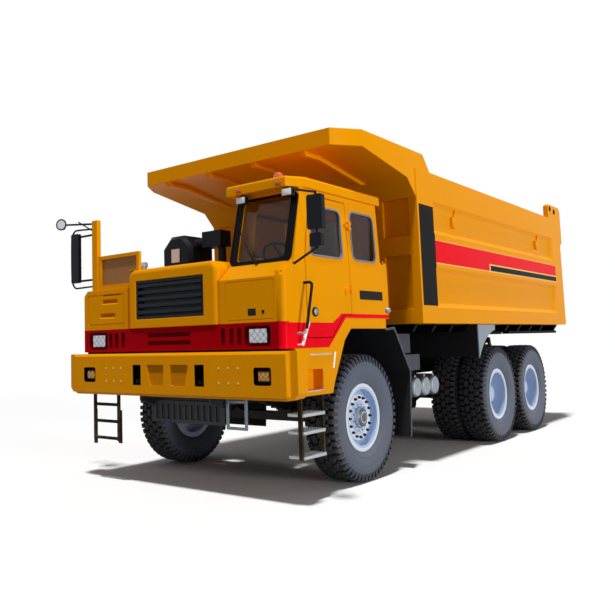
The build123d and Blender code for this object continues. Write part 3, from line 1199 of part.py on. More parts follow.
with BuildPart() as hoist_barrels:
    for side in (1, -1):
        y = side * hoist_y
        bar(along(barrel_foot, y), along(barrel_head, y), barrel_radius)
        bar(along(barrel_head - gland_length, y), along(barrel_head, y), gland_radius)
        bar(along(-50, y), along(50, y), gland_radius)
        bar((trunnion_x, y + side * trunnion_shoulder, trunnion_z),
            (trunnion_x, side * (rail_inner + hanger_thick), trunnion_z), trunnion_radius)
        bar(along(barrel_foot + 20, y), along(barrel_head + 1, y), stage_1_radius + slide_gap, mode=Mode.SUBTRACT)
    bar((trunnion_x, -hoist_y + trunnion_shoulder, trunnion_z), (trunnion_x, hoist_y - trunnion_shoulder, trunnion_z),
        trunnion_radius)
keep(hoist_barrels, "hoist_barrels")

stages = [  # name, outer radius, bore, lower end, upper end
    ("hoist_stage_1", stage_1_radius, stage_2_radius + slide_gap, barrel_foot + 22, barrel_head + 17),
    ("hoist_stage_2", stage_2_radius, rod_radius + slide_gap, barrel_foot + 24, barrel_head + 34),
]
for name, radius, bore, foot, head in stages:
    with BuildPart() as stage:
        for y in (hoist_y, -hoist_y):
            bar(along(foot, y), along(head, y), radius)
            bar(along(foot - 1, y), along(head + 1, y), bore, mode=Mode.SUBTRACT)
    keep(stage, name)

with BuildPart() as hoist_rods:
    for y in (hoist_y, -hoist_y):
        bar(along(barrel_foot + 26, y), along(hoist_run - eye_bore - 5, y), rod_radius)
        bar((hoist_top_x, y - eye_half, hoist_top_z), (hoist_top_x, y + eye_half, hoist_top_z), eye_radius)
        bar((hoist_top_x, y - eye_half - 1, hoist_top_z), (hoist_top_x, y + eye_half + 1, hoist_top_z), eye_bore,
            mode=Mode.SUBTRACT)
keep(hoist_rods, "hoist_rods")
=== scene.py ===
import json
from math import cos, pi, radians, sin
import bmesh
import bpy
from mathutils import Matrix, Vector


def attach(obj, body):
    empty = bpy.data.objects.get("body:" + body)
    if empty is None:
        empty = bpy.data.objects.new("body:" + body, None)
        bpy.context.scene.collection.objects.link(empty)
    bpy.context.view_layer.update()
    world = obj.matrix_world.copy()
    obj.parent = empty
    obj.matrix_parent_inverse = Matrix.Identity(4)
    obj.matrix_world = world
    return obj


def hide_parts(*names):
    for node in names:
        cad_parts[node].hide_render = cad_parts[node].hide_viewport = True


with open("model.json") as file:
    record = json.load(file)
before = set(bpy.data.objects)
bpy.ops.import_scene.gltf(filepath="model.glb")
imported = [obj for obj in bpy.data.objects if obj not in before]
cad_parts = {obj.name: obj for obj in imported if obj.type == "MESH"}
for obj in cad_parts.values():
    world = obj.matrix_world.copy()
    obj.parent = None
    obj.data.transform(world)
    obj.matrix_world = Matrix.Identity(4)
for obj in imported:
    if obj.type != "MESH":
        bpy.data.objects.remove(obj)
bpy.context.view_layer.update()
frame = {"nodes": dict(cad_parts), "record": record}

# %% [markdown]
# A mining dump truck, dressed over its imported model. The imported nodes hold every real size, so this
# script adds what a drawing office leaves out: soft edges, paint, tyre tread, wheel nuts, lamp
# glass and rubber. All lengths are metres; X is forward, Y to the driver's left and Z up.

# %% [markdown]
# The photograph was taken from the front left at chest height, through a lens a little longer than
# normal. It was cropped off centre, which is what the camera's shift is for: the lens stays and the
# film slides behind it. The place, the two directions and the focal length were worked out from the
# bumper, the cab and the body.

# %% Camera
camera_place = Vector((9.7626, 5.3922, 1.5265))
camera_forward = Vector((-0.75849, -0.64428, 0.09799)).normalized()
camera_up = Vector((0.05741, 0.08372, 0.99483))
film_width = 36.0
picture_size = 615
focal_pixels = 717.967
sight_x, sight_y = 222.8, 272.51
camera_right = camera_forward.cross(camera_up).normalized()
camera_up = camera_right.cross(camera_forward)
camera_data = bpy.data.cameras.new("camera")
camera_data.sensor_width = film_width
camera_data.lens = focal_pixels * film_width / picture_size
camera_data.shift_x = (picture_size / 2 - sight_x) / picture_size
camera_data.shift_y = (sight_y - picture_size / 2) / picture_size
camera_data.clip_end = 200
camera = bpy.data.objects.new("camera", camera_data)
turn = Matrix((camera_right, camera_up, -camera_forward)).transposed().to_4x4()
camera.matrix_world = Matrix.Translation(camera_place) @ turn
bpy.context.collection.objects.link(camera)
bpy.context.scene.camera = camera
print("lens", round(camera_data.lens, 2))

# %% [markdown]
# A shader is a circuit of nodes, hard to read as boxes and wires. So a socket is wrapped in a class
# whose sums and comparisons add the Math nodes, and a mask reads as it would on paper.

# %% Shader sums
class Signal:
    """A number on a shader socket; sums and comparisons add their Math nodes."""

    def __init__(self, paint, socket):
        self.paint, self.socket = paint, socket

    def math(self, operation, first, second=0.0):
        return self.paint.node("Math", {"operation": operation}, {0: first, 1: second})

    def __add__(self, other):
        return self.math("ADD", self, other)

    def __sub__(self, other):
        return self.math("SUBTRACT", self, other)

    def __rsub__(self, other):
        return self.math("SUBTRACT", other, self)

    def __mul__(self, other):
        return self.math("MULTIPLY", self, other)

    def __gt__(self, other):
        return self.math("GREATER_THAN", self, other)

    def __lt__(self, other):
        return self.math("LESS_THAN", self, other)

    def __abs__(self):
        return self.math("ABSOLUTE", self)

    def clamped(self):
        return self.math("MINIMUM", self.math("MAXIMUM", self, 0.0), 1.0)

    def wave(self):
        return self.math("SINE", self)


def srgb(code):
    """A web colour as the linear numbers a shader wants."""
    parts = [int(code[i:i + 2], 16) / 255 for i in (1, 3, 5)]
    return [p / 12.92 if p <= 0.04045 else ((p + 0.055) / 1.055) ** 2.4 for p in parts] + [1.0]


def darker(code, share):
    """The same colour with a share of its light left."""
    return [c * share for c in srgb(code)[:3]] + [1.0]


class Paint:
    """A material, or the world, under construction, with one method for every kind of node."""

    def __init__(self, name, kinds=bpy.data.materials, shader="Principled BSDF"):
        self.material = kinds.new(name)
        self.material.use_nodes = True
        self.tree = self.material.node_tree
        self.shader = self.tree.nodes[shader]

    def node(self, kind, settings=None, inputs=None, output=0):
        made = self.tree.nodes.new("ShaderNode" + kind)
        for name, value in (settings or {}).items():
            setattr(made, name, value)
        for name, value in (inputs or {}).items():
            self.feed(made.inputs[name], value)
        return Signal(self, made.outputs[output])

    def feed(self, socket, value):
        if isinstance(value, Signal):
            self.tree.links.new(value.socket, socket)
        else:
            socket.default_value = value

    def set(self, **sockets):
        """Values or links for the shader; an underscore in a name stands for a space."""
        for name, value in sockets.items():
            self.feed(self.shader.inputs[name.replace("_", " ")], value)
        return self

    def place(self):
        """The point on the object, in metres."""
        return self.node("TexCoord", output="Object")

    def axes(self):
        """The point's three coordinates."""
        split = self.node("SeparateXYZ", inputs={0: self.place()}).socket.node
        return [Signal(self, split.outputs[i]) for i in range(3)]

    def noise(self, scale, detail=3.0, roughness=0.5, stretch=(1, 1, 1)):
        at = self.node("Mapping", inputs={"Vector": self.place(), "Scale": stretch})
        return self.node("TexNoise", inputs={"Vector": at, "Scale": scale, "Detail": detail,
                                             "Roughness": roughness})

    def mixed(self, amount, first, second):
        """One colour turning into another as the amount goes from 0 to 1."""
        return self.node("Mix", {"data_type": "RGBA"}, {0: amount, 6: first, 7: second}, output=2)

    def bump(self, height, strength=0.3, distance=0.001):
        return self.set(Normal=self.node("Bump", inputs={"Strength": strength, "Distance": distance,
                                                         "Height": height}))


print("shader tools ready")

# %% [markdown]
# Sheet metal on such a truck is sprayed thick over coarse filler, so it shines softly and is never
# quite even. Its mirror share is kept low, because the white stage round the truck would pale it.
# One function gives every painted steel its fine orange peel, a faint change of tone and the dust
# that settles towards the ground. Stripes, painted shade in recesses and a painted highlight on the
# nose band's rolled corner are decided by where a point lies on the truck, so they stay sharp from
# any distance.

# %% Painted steel
yellow_code, red_code, band_code, black_code = "#FBA300", "#FA0820", "#B4000E", "#0E0F11"
dust_code = "#8C7A5C"


def between(value, low, high):
    return (value > low) * (value < high)


def painted(name, code, roughness=0.3, peel=0.25, dust=0.05, marks=None):
    """Sprayed steel; marks is a function that colours the base by the point's place."""
    paint = Paint(name)
    x, y, z = paint.axes()
    tone = paint.noise(1.7, 4)
    base = paint.mixed(tone * 0.3, srgb(code), darker(code, 0.88))
    if marks:
        base = marks(paint, base, x, y, z)
    low = ((1.5 - z) * 0.9).clamped()
    grime = (low * (paint.noise(5.0, 6, 0.65) * 1.6 - 0.45).clamped() * dust * 4).clamped()
    paint.set(Base_Color=paint.mixed(grime, base, srgb(dust_code)), Coat_Weight=0.0, IOR=1.09,
              Roughness=grime * 0.4 + roughness + tone * 0.08)
    return paint.bump(paint.noise(260, 2) * peel + tone * 0.4, 0.12, 0.002).material


def body_marks(paint, base, x, y, z):
    """The body's side: a black upright, and a red stripe with a black one under its rear half."""
    side = abs(y) > 1.625
    rear, step_x, front, upright_front = -3.87, -0.62, 1.205, 1.632
    outline = between(x, rear - 0.015, front) * between(z, 2.452, 2.752) * side
    step = (x > step_x) + (z > 2.566)
    red_area = between(x, rear, front) * between(z, 2.464, 2.745) * side * step.clamped()
    black_band = between(x, rear, step_x - 0.04) * between(z, 2.468, 2.546) * side
    upright = between(x, front, upright_front) * between(z, 1.918, 3.163) * side
    base = paint.mixed(outline, base, srgb("#FFD27A"))
    base = paint.mixed(red_area, base, srgb(red_code))
    base = paint.mixed(black_band, base, srgb("#050506"))
    return paint.mixed(upright, base, srgb("#0E0E10"))


def cab_marks(paint, base, x, y, z):
    """Red from the nose band back along the door's foot, up the arch and on as a thin stripe."""
    outer = y > 1.452
    bottom, shoulder, top = 1.46, 1.705, 1.8
    gap = between(x, 4.15, 4.161) * between(z, 1.0, 1.446) * outer
    slope = x + (z - bottom) * 1.17 > 3.56
    foot = between(z, bottom, shoulder) * slope
    rise = between(z, bottom, top) * slope * (x + (z - shoulder) * 1.9 < 3.475)
    stripe = between(z, 1.757, top) * (x < 3.32)
    base = paint.mixed(gap, base, srgb("#120C04"))
    return paint.mixed(((foot + rise + stripe) * outer).clamped(), base, srgb(red_code))


def bumper_black_and_painted_shade(paint, base, x, y, z):
    """Black inside the tow slots and lamp pockets, and painted shade in the two tapered recesses."""
    across = abs(y)
    behind = x < 4.3665
    slot_height = between(z, 1.09, 1.323) * behind
    slot = between(across, 0.39, 0.532) * slot_height
    pocket = between(across, 1.15, 1.37) * between(z, 1.115, 1.295) * behind
    recess = between(across, 0.02, 0.33) * slot_height
    # painted shade: the tapered recesses are coloured darker as if shaded
    base = paint.mixed(recess * 0.35, base, srgb("#7A4A00"))
    return paint.mixed((slot + pocket).clamped(), base, srgb("#0B0B0C"))


def band_shade_and_highlight(paint, base, x, y, z):
    """Painted shade in the lamp pockets and flutes; a painted highlight round the rolled corner."""
    # painted shade: the recessed lamp pockets and flutes are coloured a deeper red
    base = paint.mixed((x < 4.3065) * 0.55, base, srgb("#5E0012"))
    # painted highlight: the rolled corner is coloured bright red as if it caught the light
    return paint.mixed(y > 1.425, base, srgb(red_code))


yellow = painted("yellow_paint", yellow_code)
body_yellow = painted("body_side_paint", yellow_code, marks=body_marks)
cab_yellow = painted("cab_side_paint", yellow_code, marks=cab_marks)
bumper_yellow = painted("bumper_paint", yellow_code, marks=bumper_black_and_painted_shade)
band_red = painted("nose_band_paint", band_code, marks=band_shade_and_highlight)
# a paler yellow than the paint: a painted highlight for the glints on the bolt heads
bolt_highlight_yellow = painted("bolt_highlight_yellow", "#FFD382", 0.25)
frame_black = painted("chassis_black", black_code, 0.5, dust=0.2)
print("painted", yellow.name, body_yellow.name, cab_yellow.name, band_red.name, frame_black.name)

# %% [markdown]
# Rubber is carbon black; the tyres' rubber is a lighter blue-grey, with dust towards the ground.
# Glass in a cab is tinted, so it reads dark. Each small finish is one shader with a texture at the
# size the real one has: brushed galvanised steel, moulded plastic, woven cloth.

# %% Other finishes
def plain(name, code, roughness, metal=0.0, scale=200, depth=0.1, deep=0.0008, vary=0.12,
          dust=0.08, stretch=(1, 1, 1), coat=0.0, shine=0.5):
    """A finish with grain of one scale, a little variation of tone and settled dust."""
    paint = Paint(name)
    z = paint.axes()[2]
    grain = paint.noise(scale, 4, 0.6, stretch)
    cloud = paint.noise(2.3, 3)
    grime = ((1.7 - z) * 0.8).clamped() * (cloud * 2.2 - 0.8).clamped() * dust
    tone = paint.mixed(grain, srgb(code), darker(code, 1 - vary * 2))
    paint.set(Base_Color=paint.mixed(grime, tone, srgb(dust_code)), Metallic=metal,
              Roughness=grain * 0.12 + roughness + grime * 0.3, Coat_Weight=coat,
              Specular_IOR_Level=shine)
    return paint.bump(grain, depth, deep).material


def tinted_glass(name, tint, clear):
    """Toughened glass: a clear share, and a tinted body that mirrors the sky."""
    paint = Paint(name)
    haze = paint.noise(6, 3) * 0.04
    paint.set(Base_Color=srgb(tint), Roughness=haze + 0.02, IOR=1.5, Alpha=1 - clear)
    return paint.material


def ribbed_lens(name, code, rough, pitch, metallic=0.0, deep=0.35):
    """Lamp glass pressed into small pillows that scatter the light; painted highlight and shade follow
    them.
    """
    paint = Paint(name)
    across, up = [(axis * (2 * pi / pitch)).wave() for axis in paint.axes()[1:]]
    pillows = across * up
    # painted highlight and shade: the lens colour goes lighter and darker with each pillow
    shade = (pillows * 0.5 + 0.5) * paint.noise(60, 3)
    paint.set(Base_Color=paint.mixed(shade, srgb(code), darker(code, deep)),
              Roughness=shade * 0.1 + rough, Metallic=metallic, Coat_Weight=0.3)
    return paint.bump(pillows, 0.9, 0.004).material


rubber = plain("moulded_rubber", "#1A1B1D", 0.7, scale=120, depth=0.25, shine=0.2)
gasket_rubber = plain("window_rubber", "#08080A", 0.55, depth=0.15, dust=0.02, shine=0.08)
tread_rubber = plain("tread_rubber", "#4E525E", 0.78, scale=90, depth=0.6, deep=0.0015, vary=0.3,
                     dust=0.25, shine=0.25)
groove_rubber = plain("groove_rubber", "#131416", 0.85, scale=70, depth=0.5, shine=0.15)
sidewall_rubber = plain("sidewall_rubber", "#666E80", 0.68, scale=55, depth=0.3, deep=0.001,
                        vary=0.16, dust=0.15, shine=0.35)
rim_grey = plain("rim_grey", "#C2D6F4", 0.34, metal=0.1, scale=160, vary=0.05, coat=0.2)
ring_white = plain("ring_white", "#F0F6FF", 0.3, metal=0.1, scale=160, vary=0.04)
nut_black = plain("wheel_nut", "#191B1F", 0.4, metal=0.5, scale=150, depth=0.2)
grey_steel = plain("grey_steel", "#363D49", 0.5, metal=0.3, scale=90, depth=0.2)
guard_steel = plain("guard_steel", "#1A2029", 0.55, metal=0.2, scale=90, depth=0.2)
galvanised = plain("galvanised_steel", "#C3C8CC", 0.35, metal=0.5, scale=25, stretch=(1, 1, 6))
silver_tank = plain("silver_tank", "#9FA9B3", 0.3, metal=0.75, scale=12, depth=0.03, dust=0.02,
                    vary=0.2)
chrome = plain("hard_chrome", "#D2D4D6", 0.12, metal=1.0, scale=300, depth=0.03, dust=0.02)
plastic = plain("black_plastic", "#11131A", 0.45, scale=420, depth=0.35, deep=0.0005, shine=0.12)
cast_iron = plain("cast_iron", "#1E1F22", 0.62, metal=0.2, scale=180, depth=0.5)
grille_navy = plain("grille_navy", "#161B23", 0.45, depth=0.15, shine=0.15)
seat_cloth = plain("seat_cloth", "#A4A6A8", 0.85, scale=600, depth=0.6, deep=0.0006)
seat_shell = plain("seat_shell", "#202124", 0.6, scale=300, depth=0.3)
cab_lining = plain("cab_lining", "#8E8E8A", 0.7, scale=300, depth=0.3)
seal_grey = plain("window_seal_grey", "#7E848E", 0.55, depth=0.15, dust=0.02)
glass_border = plain("glass_border", "#08080A", 0.3, scale=300, depth=0.03, dust=0.0, shine=0.06)
bearing_steel = plain("bearing_steel", "#5A6068", 0.35, metal=0.6)
# painted shade: the panel's brown stands for the yellow case behind the mesh, seen in shade
guard_mesh_shaded_brown = plain("guard_mesh", "#A8702C", 0.55, scale=60, depth=0.4, vary=0.2,
                   stretch=(1, 0.2, 4))
blank_plate = plain("blank_plate", "#08080A", 0.35, shine=0.08)
pale_plate = plain("pale_plate", "#E9DFD6", 0.4, scale=120, vary=0.08)
trim_grey = plain("trim_grey", "#98A2AE", 0.45, metal=0.3, scale=90, depth=0.15)
flap_rubber = plain("flap_rubber", "#26282E", 0.7, scale=120, depth=0.25, shine=0.15)
cab_glazing = tinted_glass("tinted_glass", "#14181B", 0.68)
head_lens = ribbed_lens("head_lens", "#D2D8DE", 0.12, 0.072, 0.4, 0.03)
work_lens = ribbed_lens("work_lens", "#F4F6F8", 0.15, 0.018, 0.2)
amber_lens = ribbed_lens("amber_lens", "#F0A000", 0.2, 0.052, 0.0, 0.08)
beacon_lens = ribbed_lens("beacon_lens", "#F05A10", 0.12, 0.02)
red_lens = ribbed_lens("red_lens", "#C01018", 0.12, 0.014)
mirror_glass = plain("mirror_glass", "#C9CED2", 0.03, metal=1.0, scale=10, depth=0.01, dust=0.0)
print("finishes", len(bpy.data.materials))

# %% [markdown]
# Sheet steel is folded and welded, so no real edge is a knife edge: light catches a narrow round
# along each one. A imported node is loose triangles, so a copy of it is merged, flat triangles are
# dissolved back to whole faces, and the edges that are still sharp are rounded. The record names a
# slot for each node, and the slot gives its finish, apart from a few nodes.

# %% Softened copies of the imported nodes
node_body = {node: body for body, nodes in frame["record"]["behaviour"]["bodies"].items()
             for node in nodes}
node_slot = {part["node"]: part["material_slot"] for part in frame["record"]["subparts"]}


def finish_piece(name, bm, materials, like, replaced=(), smooth=40):
    """Make a bmesh an object that rides with a node's body, smooth where its faces meet gently."""
    mesh = bpy.data.meshes.new(name)
    bm.to_mesh(mesh)
    bm.free()
    for each in materials if isinstance(materials, list) else [materials]:
        mesh.materials.append(each)
    piece = bpy.data.objects.new(name, mesh)
    bpy.context.collection.objects.link(piece)
    mesh.shade_smooth()
    mesh.set_sharp_from_angle(angle=radians(smooth))
    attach(piece, node_body[like])
    if replaced:
        even = piece.modifiers.new("even_shading", "WEIGHTED_NORMAL")
        even.keep_sharp = True
        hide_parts(*replaced)
    return piece


def merged_copy(node):
    """The node's mesh with its doubles merged and its flat triangles made whole faces."""
    bm = bmesh.new()
    bm.from_mesh(frame["nodes"][node].data)
    bmesh.ops.remove_doubles(bm, verts=bm.verts, dist=0.00002)
    bmesh.ops.dissolve_limit(bm, angle_limit=radians(0.6), verts=bm.verts, edges=bm.edges)
    return bm


def bevel(bm, geom, width, segments, affect="EDGES", clamp_overlap=True):
    """Round edges, or the corners of an outline, by a width."""
    bmesh.ops.bevel(bm, geom=list(geom), offset=width, offset_type="OFFSET", affect=affect,
                    segments=segments, profile=0.5, material=-1, clamp_overlap=clamp_overlap)


def rounded(bm, width, segments=2, sharp=35):
    """Round the edges that turn by more than an angle."""
    edges = [edge for edge in bm.edges
             if edge.is_manifold and edge.calc_face_angle(0) > radians(sharp)]
    if edges:
        bevel(bm, edges, width, segments)
    return bm


def at_front_left(point):
    """Whether a point lies on the upright edge of the cab's front left corner."""
    return point.x > 4.305 and point.y > 1.49


def dress(node, material, width=0.006, segments=2, others=(), corner=0.0):
    """Replace a node by its softened copy; others pairs a finish with a test of a face's middle."""
    bm = merged_copy(node)
    if corner:
        bevel(bm, [edge for edge in bm.edges if all(at_front_left(vert.co) for vert in edge.verts)
                   and edge.is_manifold and edge.calc_face_angle(0) > 1.0], corner, 5)
    rounded(bm, width, segments)
    for index, (finish, test) in enumerate(others, 1):
        for face in bm.faces:
            if test(face.calc_center_median()):
                face.material_index = index
    materials = [material] + [finish for finish, test in others]
    return finish_piece(node + "_skin", bm, materials, node, [node])


slot_finish = {"yellow": yellow, "red": band_red, "black_paint": frame_black,
               "grey_metal": cast_iron, "grille_dark": grille_navy, "dark_plastic": plastic,
               "ram_chrome": chrome}
own_finish = {"front_bumper": bumper_yellow, "bed_sides": body_yellow, "cab_left": cab_yellow,
              "cab_door": cab_yellow, "fenders": cab_yellow, "cab_floor": cab_lining,
              "radiator_guard": guard_steel, "engine": grey_steel}
for node in ("front_axle", "drive_axles", "knuckle_left", "knuckle_right", "track_rod"):
    own_finish[node] = cast_iron
corner_radius = {"cab_left": 0.042, "nose_band": 0.06}
for node in node_body:
    material = own_finish.get(node, slot_finish.get(node_slot[node]))
    if material and node not in ("tanks", "handrails"):
        skin = dress(node, material, corner=corner_radius.get(node, 0.0))
        print(node, len(skin.data.polygons))
dress("tanks", grey_steel,
      others=[(silver_tank, lambda spot: spot.y > 0.5 and 0.6 < spot.x < 1.5 and spot.z < 1.05),
              (frame_black, lambda spot: spot.y < -0.5)])
dress("handrails", plastic, 0.003, 1, [(galvanised, lambda spot: spot.z < 1.83 and spot.x > 4.03)])
for node in ("cab_glass", "door_glass"):
    frame["nodes"][node].data.materials.clear()
    frame["nodes"][node].data.materials.append(cab_glazing)

# %% [markdown]
# New pieces start from a few plain forms: a block with soft edges, a round bar, and a line spun
# round an axis. Each is one call of a mesh operator, so a piece reads as a list of its forms.

# %% Forms for new pieces
upwards, sideways, forwards = (0, 0, 1), (0, 1, 0), (1, 0, 0)


def around(middle, half):
    """The two ends of a length, from its middle."""
    return middle - half, middle + half


def both(y):
    """A place on the left and its mirror image on the right."""
    return y, -y


def ends(node, axis):
    """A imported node's two ends along an axis, by the axis's number."""
    places = [corner[axis] for corner in frame["nodes"][node].bound_box]
    return min(places), max(places)


def middle_of(node, axis):
    return sum(ends(node, axis)) / 2


def put_block(bm, x, y, z, soft=0.004, segments=2):
    """A block between pairs of x, y and z, with its edges rounded."""
    middle = Vector([(low + high) / 2 for low, high in (x, y, z)])
    size = [abs(high - low) for low, high in (x, y, z)]
    made = bmesh.ops.create_cube(
        bm, size=1.0, matrix=Matrix.Translation(middle) @ Matrix.Diagonal((*size, 1)))
    bevel(bm, {edge for vert in made["verts"] for edge in vert.link_edges}, soft, segments)


def put_bar(bm, start, end, radius, sides=16, tip=None):
    """A round bar from one point to another."""
    start, end = Vector(start), Vector(end)
    turn = (end - start).to_track_quat("Z", "Y").to_matrix().to_4x4()
    bmesh.ops.create_cone(bm, cap_ends=True, segments=sides, radius1=radius,
                          radius2=radius if tip is None else tip, depth=(end - start).length,
                          matrix=Matrix.Translation((start + end) / 2) @ turn)


def put_turned(bm, section, centre, axis=sideways, steps=48):
    """A line of distances along an axis and radii, spun right round it."""
    axis, centre = Vector(axis).normalized(), Vector(centre)
    out = axis.orthogonal().normalized()
    verts = [bm.verts.new(centre + axis * along + out * radius) for along, radius in section]
    edges = [bm.edges.new(pair) for pair in zip(verts, verts[1:])]
    bmesh.ops.spin(bm, geom=verts + edges, cent=centre, axis=axis, angle=2 * pi, steps=steps,
                   use_merge=True, use_duplicate=False)


def drawn_out(bm, faces, by=(0, 0, 0)):
    """Extrude faces and move the new ones; their vertices come back."""
    made = bmesh.ops.extrude_face_region(bm, geom=faces)["geom"]
    moved = [item for item in made if isinstance(item, bmesh.types.BMVert)]
    bmesh.ops.translate(bm, verts=moved, vec=by)
    return moved


def closed(bm):
    """Merge the doubles and turn every face outwards."""
    bmesh.ops.remove_doubles(bm, verts=bm.verts, dist=0.00005)
    bmesh.ops.recalc_face_normals(bm, faces=bm.faces)
    return bm


def fitting(name, finish, like, blocks=(), bars=(), turned=(), replaced=()):
    """A new piece made of blocks, bars and turned forms, each given by its own arguments."""
    bm = bmesh.new()
    for put, forms in ((put_block, blocks), (put_bar, bars), (put_turned, turned)):
        for form in forms:
            put(bm, *form)
    return finish_piece(name, closed(bm), finish, like, replaced)


print("forms ready")

# %% [markdown]
# Over the rear wheels a dark cross plate hangs from the frame, and a bright wing is cut back round
# the tyre at its outer end. The cut is an arc about the axle, spun from one point. The front flaps'
# bright edging is their own outline, grown a little and given a thickness.

# %% Mudguards
mid_axle_x, axle_z = middle_of("mid_left_tyres", 0), middle_of("mid_left_tyres", 2)
plate_x, plate_z, plate_inner = (-0.192, -0.172), (1.25, 1.694), 0.497
wing_y, wing_front, wing_thick = 1.572, -0.171, 0.016
cut_reach, cut_rise, cut_angle = 0.769, 0.539, radians(-47.7)  # the arc's first point and its turn
flap_y, edging_y, edging_proud = 1.5, 1.485, 0.014
bm = merged_copy("mudguards")
bmesh.ops.delete(bm, geom=[vert for vert in bm.verts if vert.co.x < -0.1], context="VERTS")
rounded(bm, 0.004)
for side in (1, -1):
    put_block(bm, plate_x, (side * plate_inner, side * wing_y), plate_z, 0.003, 1)
finish_piece("mudguards_skin", closed(bm), flap_rubber, "mudguards", ["mudguards"])
bm = bmesh.new()
for side in (1, -1):
    old = set(bm.verts)
    first = bm.verts.new((mid_axle_x + cut_reach, side * wing_y, axle_z + cut_rise))
    bmesh.ops.spin(bm, geom=[first], cent=(mid_axle_x, side * wing_y, axle_z), axis=sideways,
                   angle=cut_angle, steps=12, use_duplicate=False, use_merge=False)
    arc = sorted([vert for vert in bm.verts if vert not in old], key=lambda vert: -vert.co.x)
    top = [bm.verts.new((x, side * wing_y, plate_z[1])) for x in (arc[-1].co.x, wing_front)]
    drawn_out(bm, [bm.faces.new(arc + top)], (0, side * wing_thick, 0))
finish_piece("mudguard_wings", closed(bm), trim_grey, "mudguards")
bm = merged_copy("mudguards")
rest = [face for face in bm.faces if abs(face.calc_center_median().y) < flap_y - 0.001
        or face.calc_center_median().x < 1]
bmesh.ops.delete(bm, geom=rest, context="FACES")
bmesh.ops.inset_region(bm, faces=list(bm.faces), thickness=edging_proud, use_outset=True,
                       use_boundary=True)
for vert in drawn_out(bm, list(bm.faces)):
    vert.co.y *= edging_y / flap_y
finish_piece("flap_edging", closed(bm), trim_grey, "mudguards")
print("mudguards made")

# %% [markdown]
# A mining tyre is a smooth casing with a thick ring of rubber blocks. The casing is its section spun
# round the axle. A block is drawn once at the top of the wheel, raised, narrowed towards its top as
# a mould needs, and copied round by the same spin. Three rows stagger across the tread, and the
# shoulder lugs wrap down the sidewall, where the photograph shows their ends as teeth.

# %% Tyres
tread_radius, groove_radius, sidewall_radius = 0.6845, 0.655, 0.636
bead_half, bead_radius = 0.1265, 0.3185
casing_side = [
    (bead_half, bead_radius), (0.1265, 0.3645), (0.14, 0.372), (0.156, 0.39),
    (0.17, 0.42), (0.172, 0.426), (0.169, 0.431), (0.179, 0.46), (0.1845, 0.495),
    (0.186, 0.525), (0.1845, 0.545), (0.1868, 0.55), (0.1868, 0.559), (0.183, 0.564),
    (0.18, 0.59), (0.173, 0.618), (0.16, 0.64), (0.14, 0.651)]
casing = ([(-along, radius) for along, radius in casing_side]
          + [(-0.07, groove_radius), (0.0, groove_radius + 0.001), (0.07, groove_radius)]
          + [(along, radius) for along, radius in reversed(casing_side)])
block_count, block_sunk, block_taper, crown_drop = 36, 0.005, 0.93, 0.03
middle_block = [(-0.046, -0.022), (0.03, -0.03), (0.052, 0.0), (0.038, 0.028), (-0.04, 0.03),
                (-0.052, 0.004)]  # a block's outline: along the tread and across it
outer_block = [(-0.046, 0.044), (0.034, 0.038), (0.05, 0.068), (0.036, 0.1), (-0.04, 0.104),
               (-0.05, 0.072)]
mirror_block = [(along, -across) for along, across in outer_block]
lug_count, lug_half, lug_foot, lug_height, lug_foot_share = 54, 0.023, 0.593, 0.09, 0.72
lug_section = [  # across and up, of a shoulder lug
    (0.116, groove_radius - 0.006), (0.116, 0.682), (0.158, 0.679), (0.178, 0.664),
    (0.185, 0.628), (0.1855, 0.598), (0.176, 0.593), (0.16, 0.63)]


def copied_round(bm, fresh, count, share):
    """Turn one block by a share of the pitch and copy it right round the wheel."""
    pitch = 2 * pi / count
    bmesh.ops.rotate(bm, verts=fresh, cent=(0, 0, 0), matrix=Matrix.Rotation(pitch * share, 3, "Y"))
    edges = list({edge for vert in fresh for edge in vert.link_edges})
    faces = list({face for vert in fresh for face in vert.link_faces})
    bmesh.ops.spin(bm, geom=fresh + edges + faces, cent=(0, 0, 0), axis=sideways,
                   angle=pitch * (count - 1), steps=count - 1, use_duplicate=True, use_merge=False)


def tread_block(bm, outline):
    """One block on the casing at the top of the wheel, narrower at its top."""
    foot = [bm.verts.new((along, across, groove_radius - block_sunk)) for along, across in outline]
    raised = drawn_out(bm, [bm.faces.new(foot)])
    middle = sum((vert.co for vert in raised), Vector()) / len(raised)
    height = tread_radius - abs(middle.y) * crown_drop - groove_radius + block_sunk
    bmesh.ops.translate(bm, verts=raised, vec=(0, 0, height))
    bmesh.ops.scale(bm, verts=raised, vec=(block_taper, block_taper, 1),
                    space=Matrix.Translation(-middle))
    return foot + raised


def shoulder_lug(bm, side):
    """One lug that wraps over a shoulder; its section is drawn out along the tread."""
    end = [bm.verts.new((-lug_half, side * across, up)) for across, up in lug_section]
    fresh = end + drawn_out(bm, [bm.faces.new(end)], (2 * lug_half, 0, 0))
    for vert in fresh:
        vert.co.x *= lug_foot_share + (1 - lug_foot_share) * (vert.co.z - lug_foot) / lug_height
    return fresh


def tyre_shape():
    """A whole tyre round the origin: grooves, sidewalls and tread are its three finishes."""
    bm = bmesh.new()
    put_turned(bm, casing, (0, 0, 0), steps=96)
    put_turned(bm, [(-bead_half, bead_radius), (bead_half, bead_radius)], (0, 0, 0), steps=96)
    closed(bm)
    for face in bm.faces:
        middle = face.calc_center_median()
        face.material_index = int(Vector((middle.x, middle.z)).length < sidewall_radius)
    casing_faces = set(bm.faces)
    for outline, share in ((middle_block, 0.0), (outer_block, 0.5), (mirror_block, 0.5)):
        copied_round(bm, tread_block(bm, outline), block_count, share)
    for side, share in ((1, 0.25), (-1, 0.75)):
        copied_round(bm, shoulder_lug(bm, side), lug_count, share)
    blocks = [face for face in bm.faces if face not in casing_faces]
    bmesh.ops.recalc_face_normals(bm, faces=blocks)
    for face in blocks:
        face.material_index = 2
    shape = bpy.data.meshes.new("tyre_shape")
    bm.to_mesh(shape)
    bm.free()
    return shape


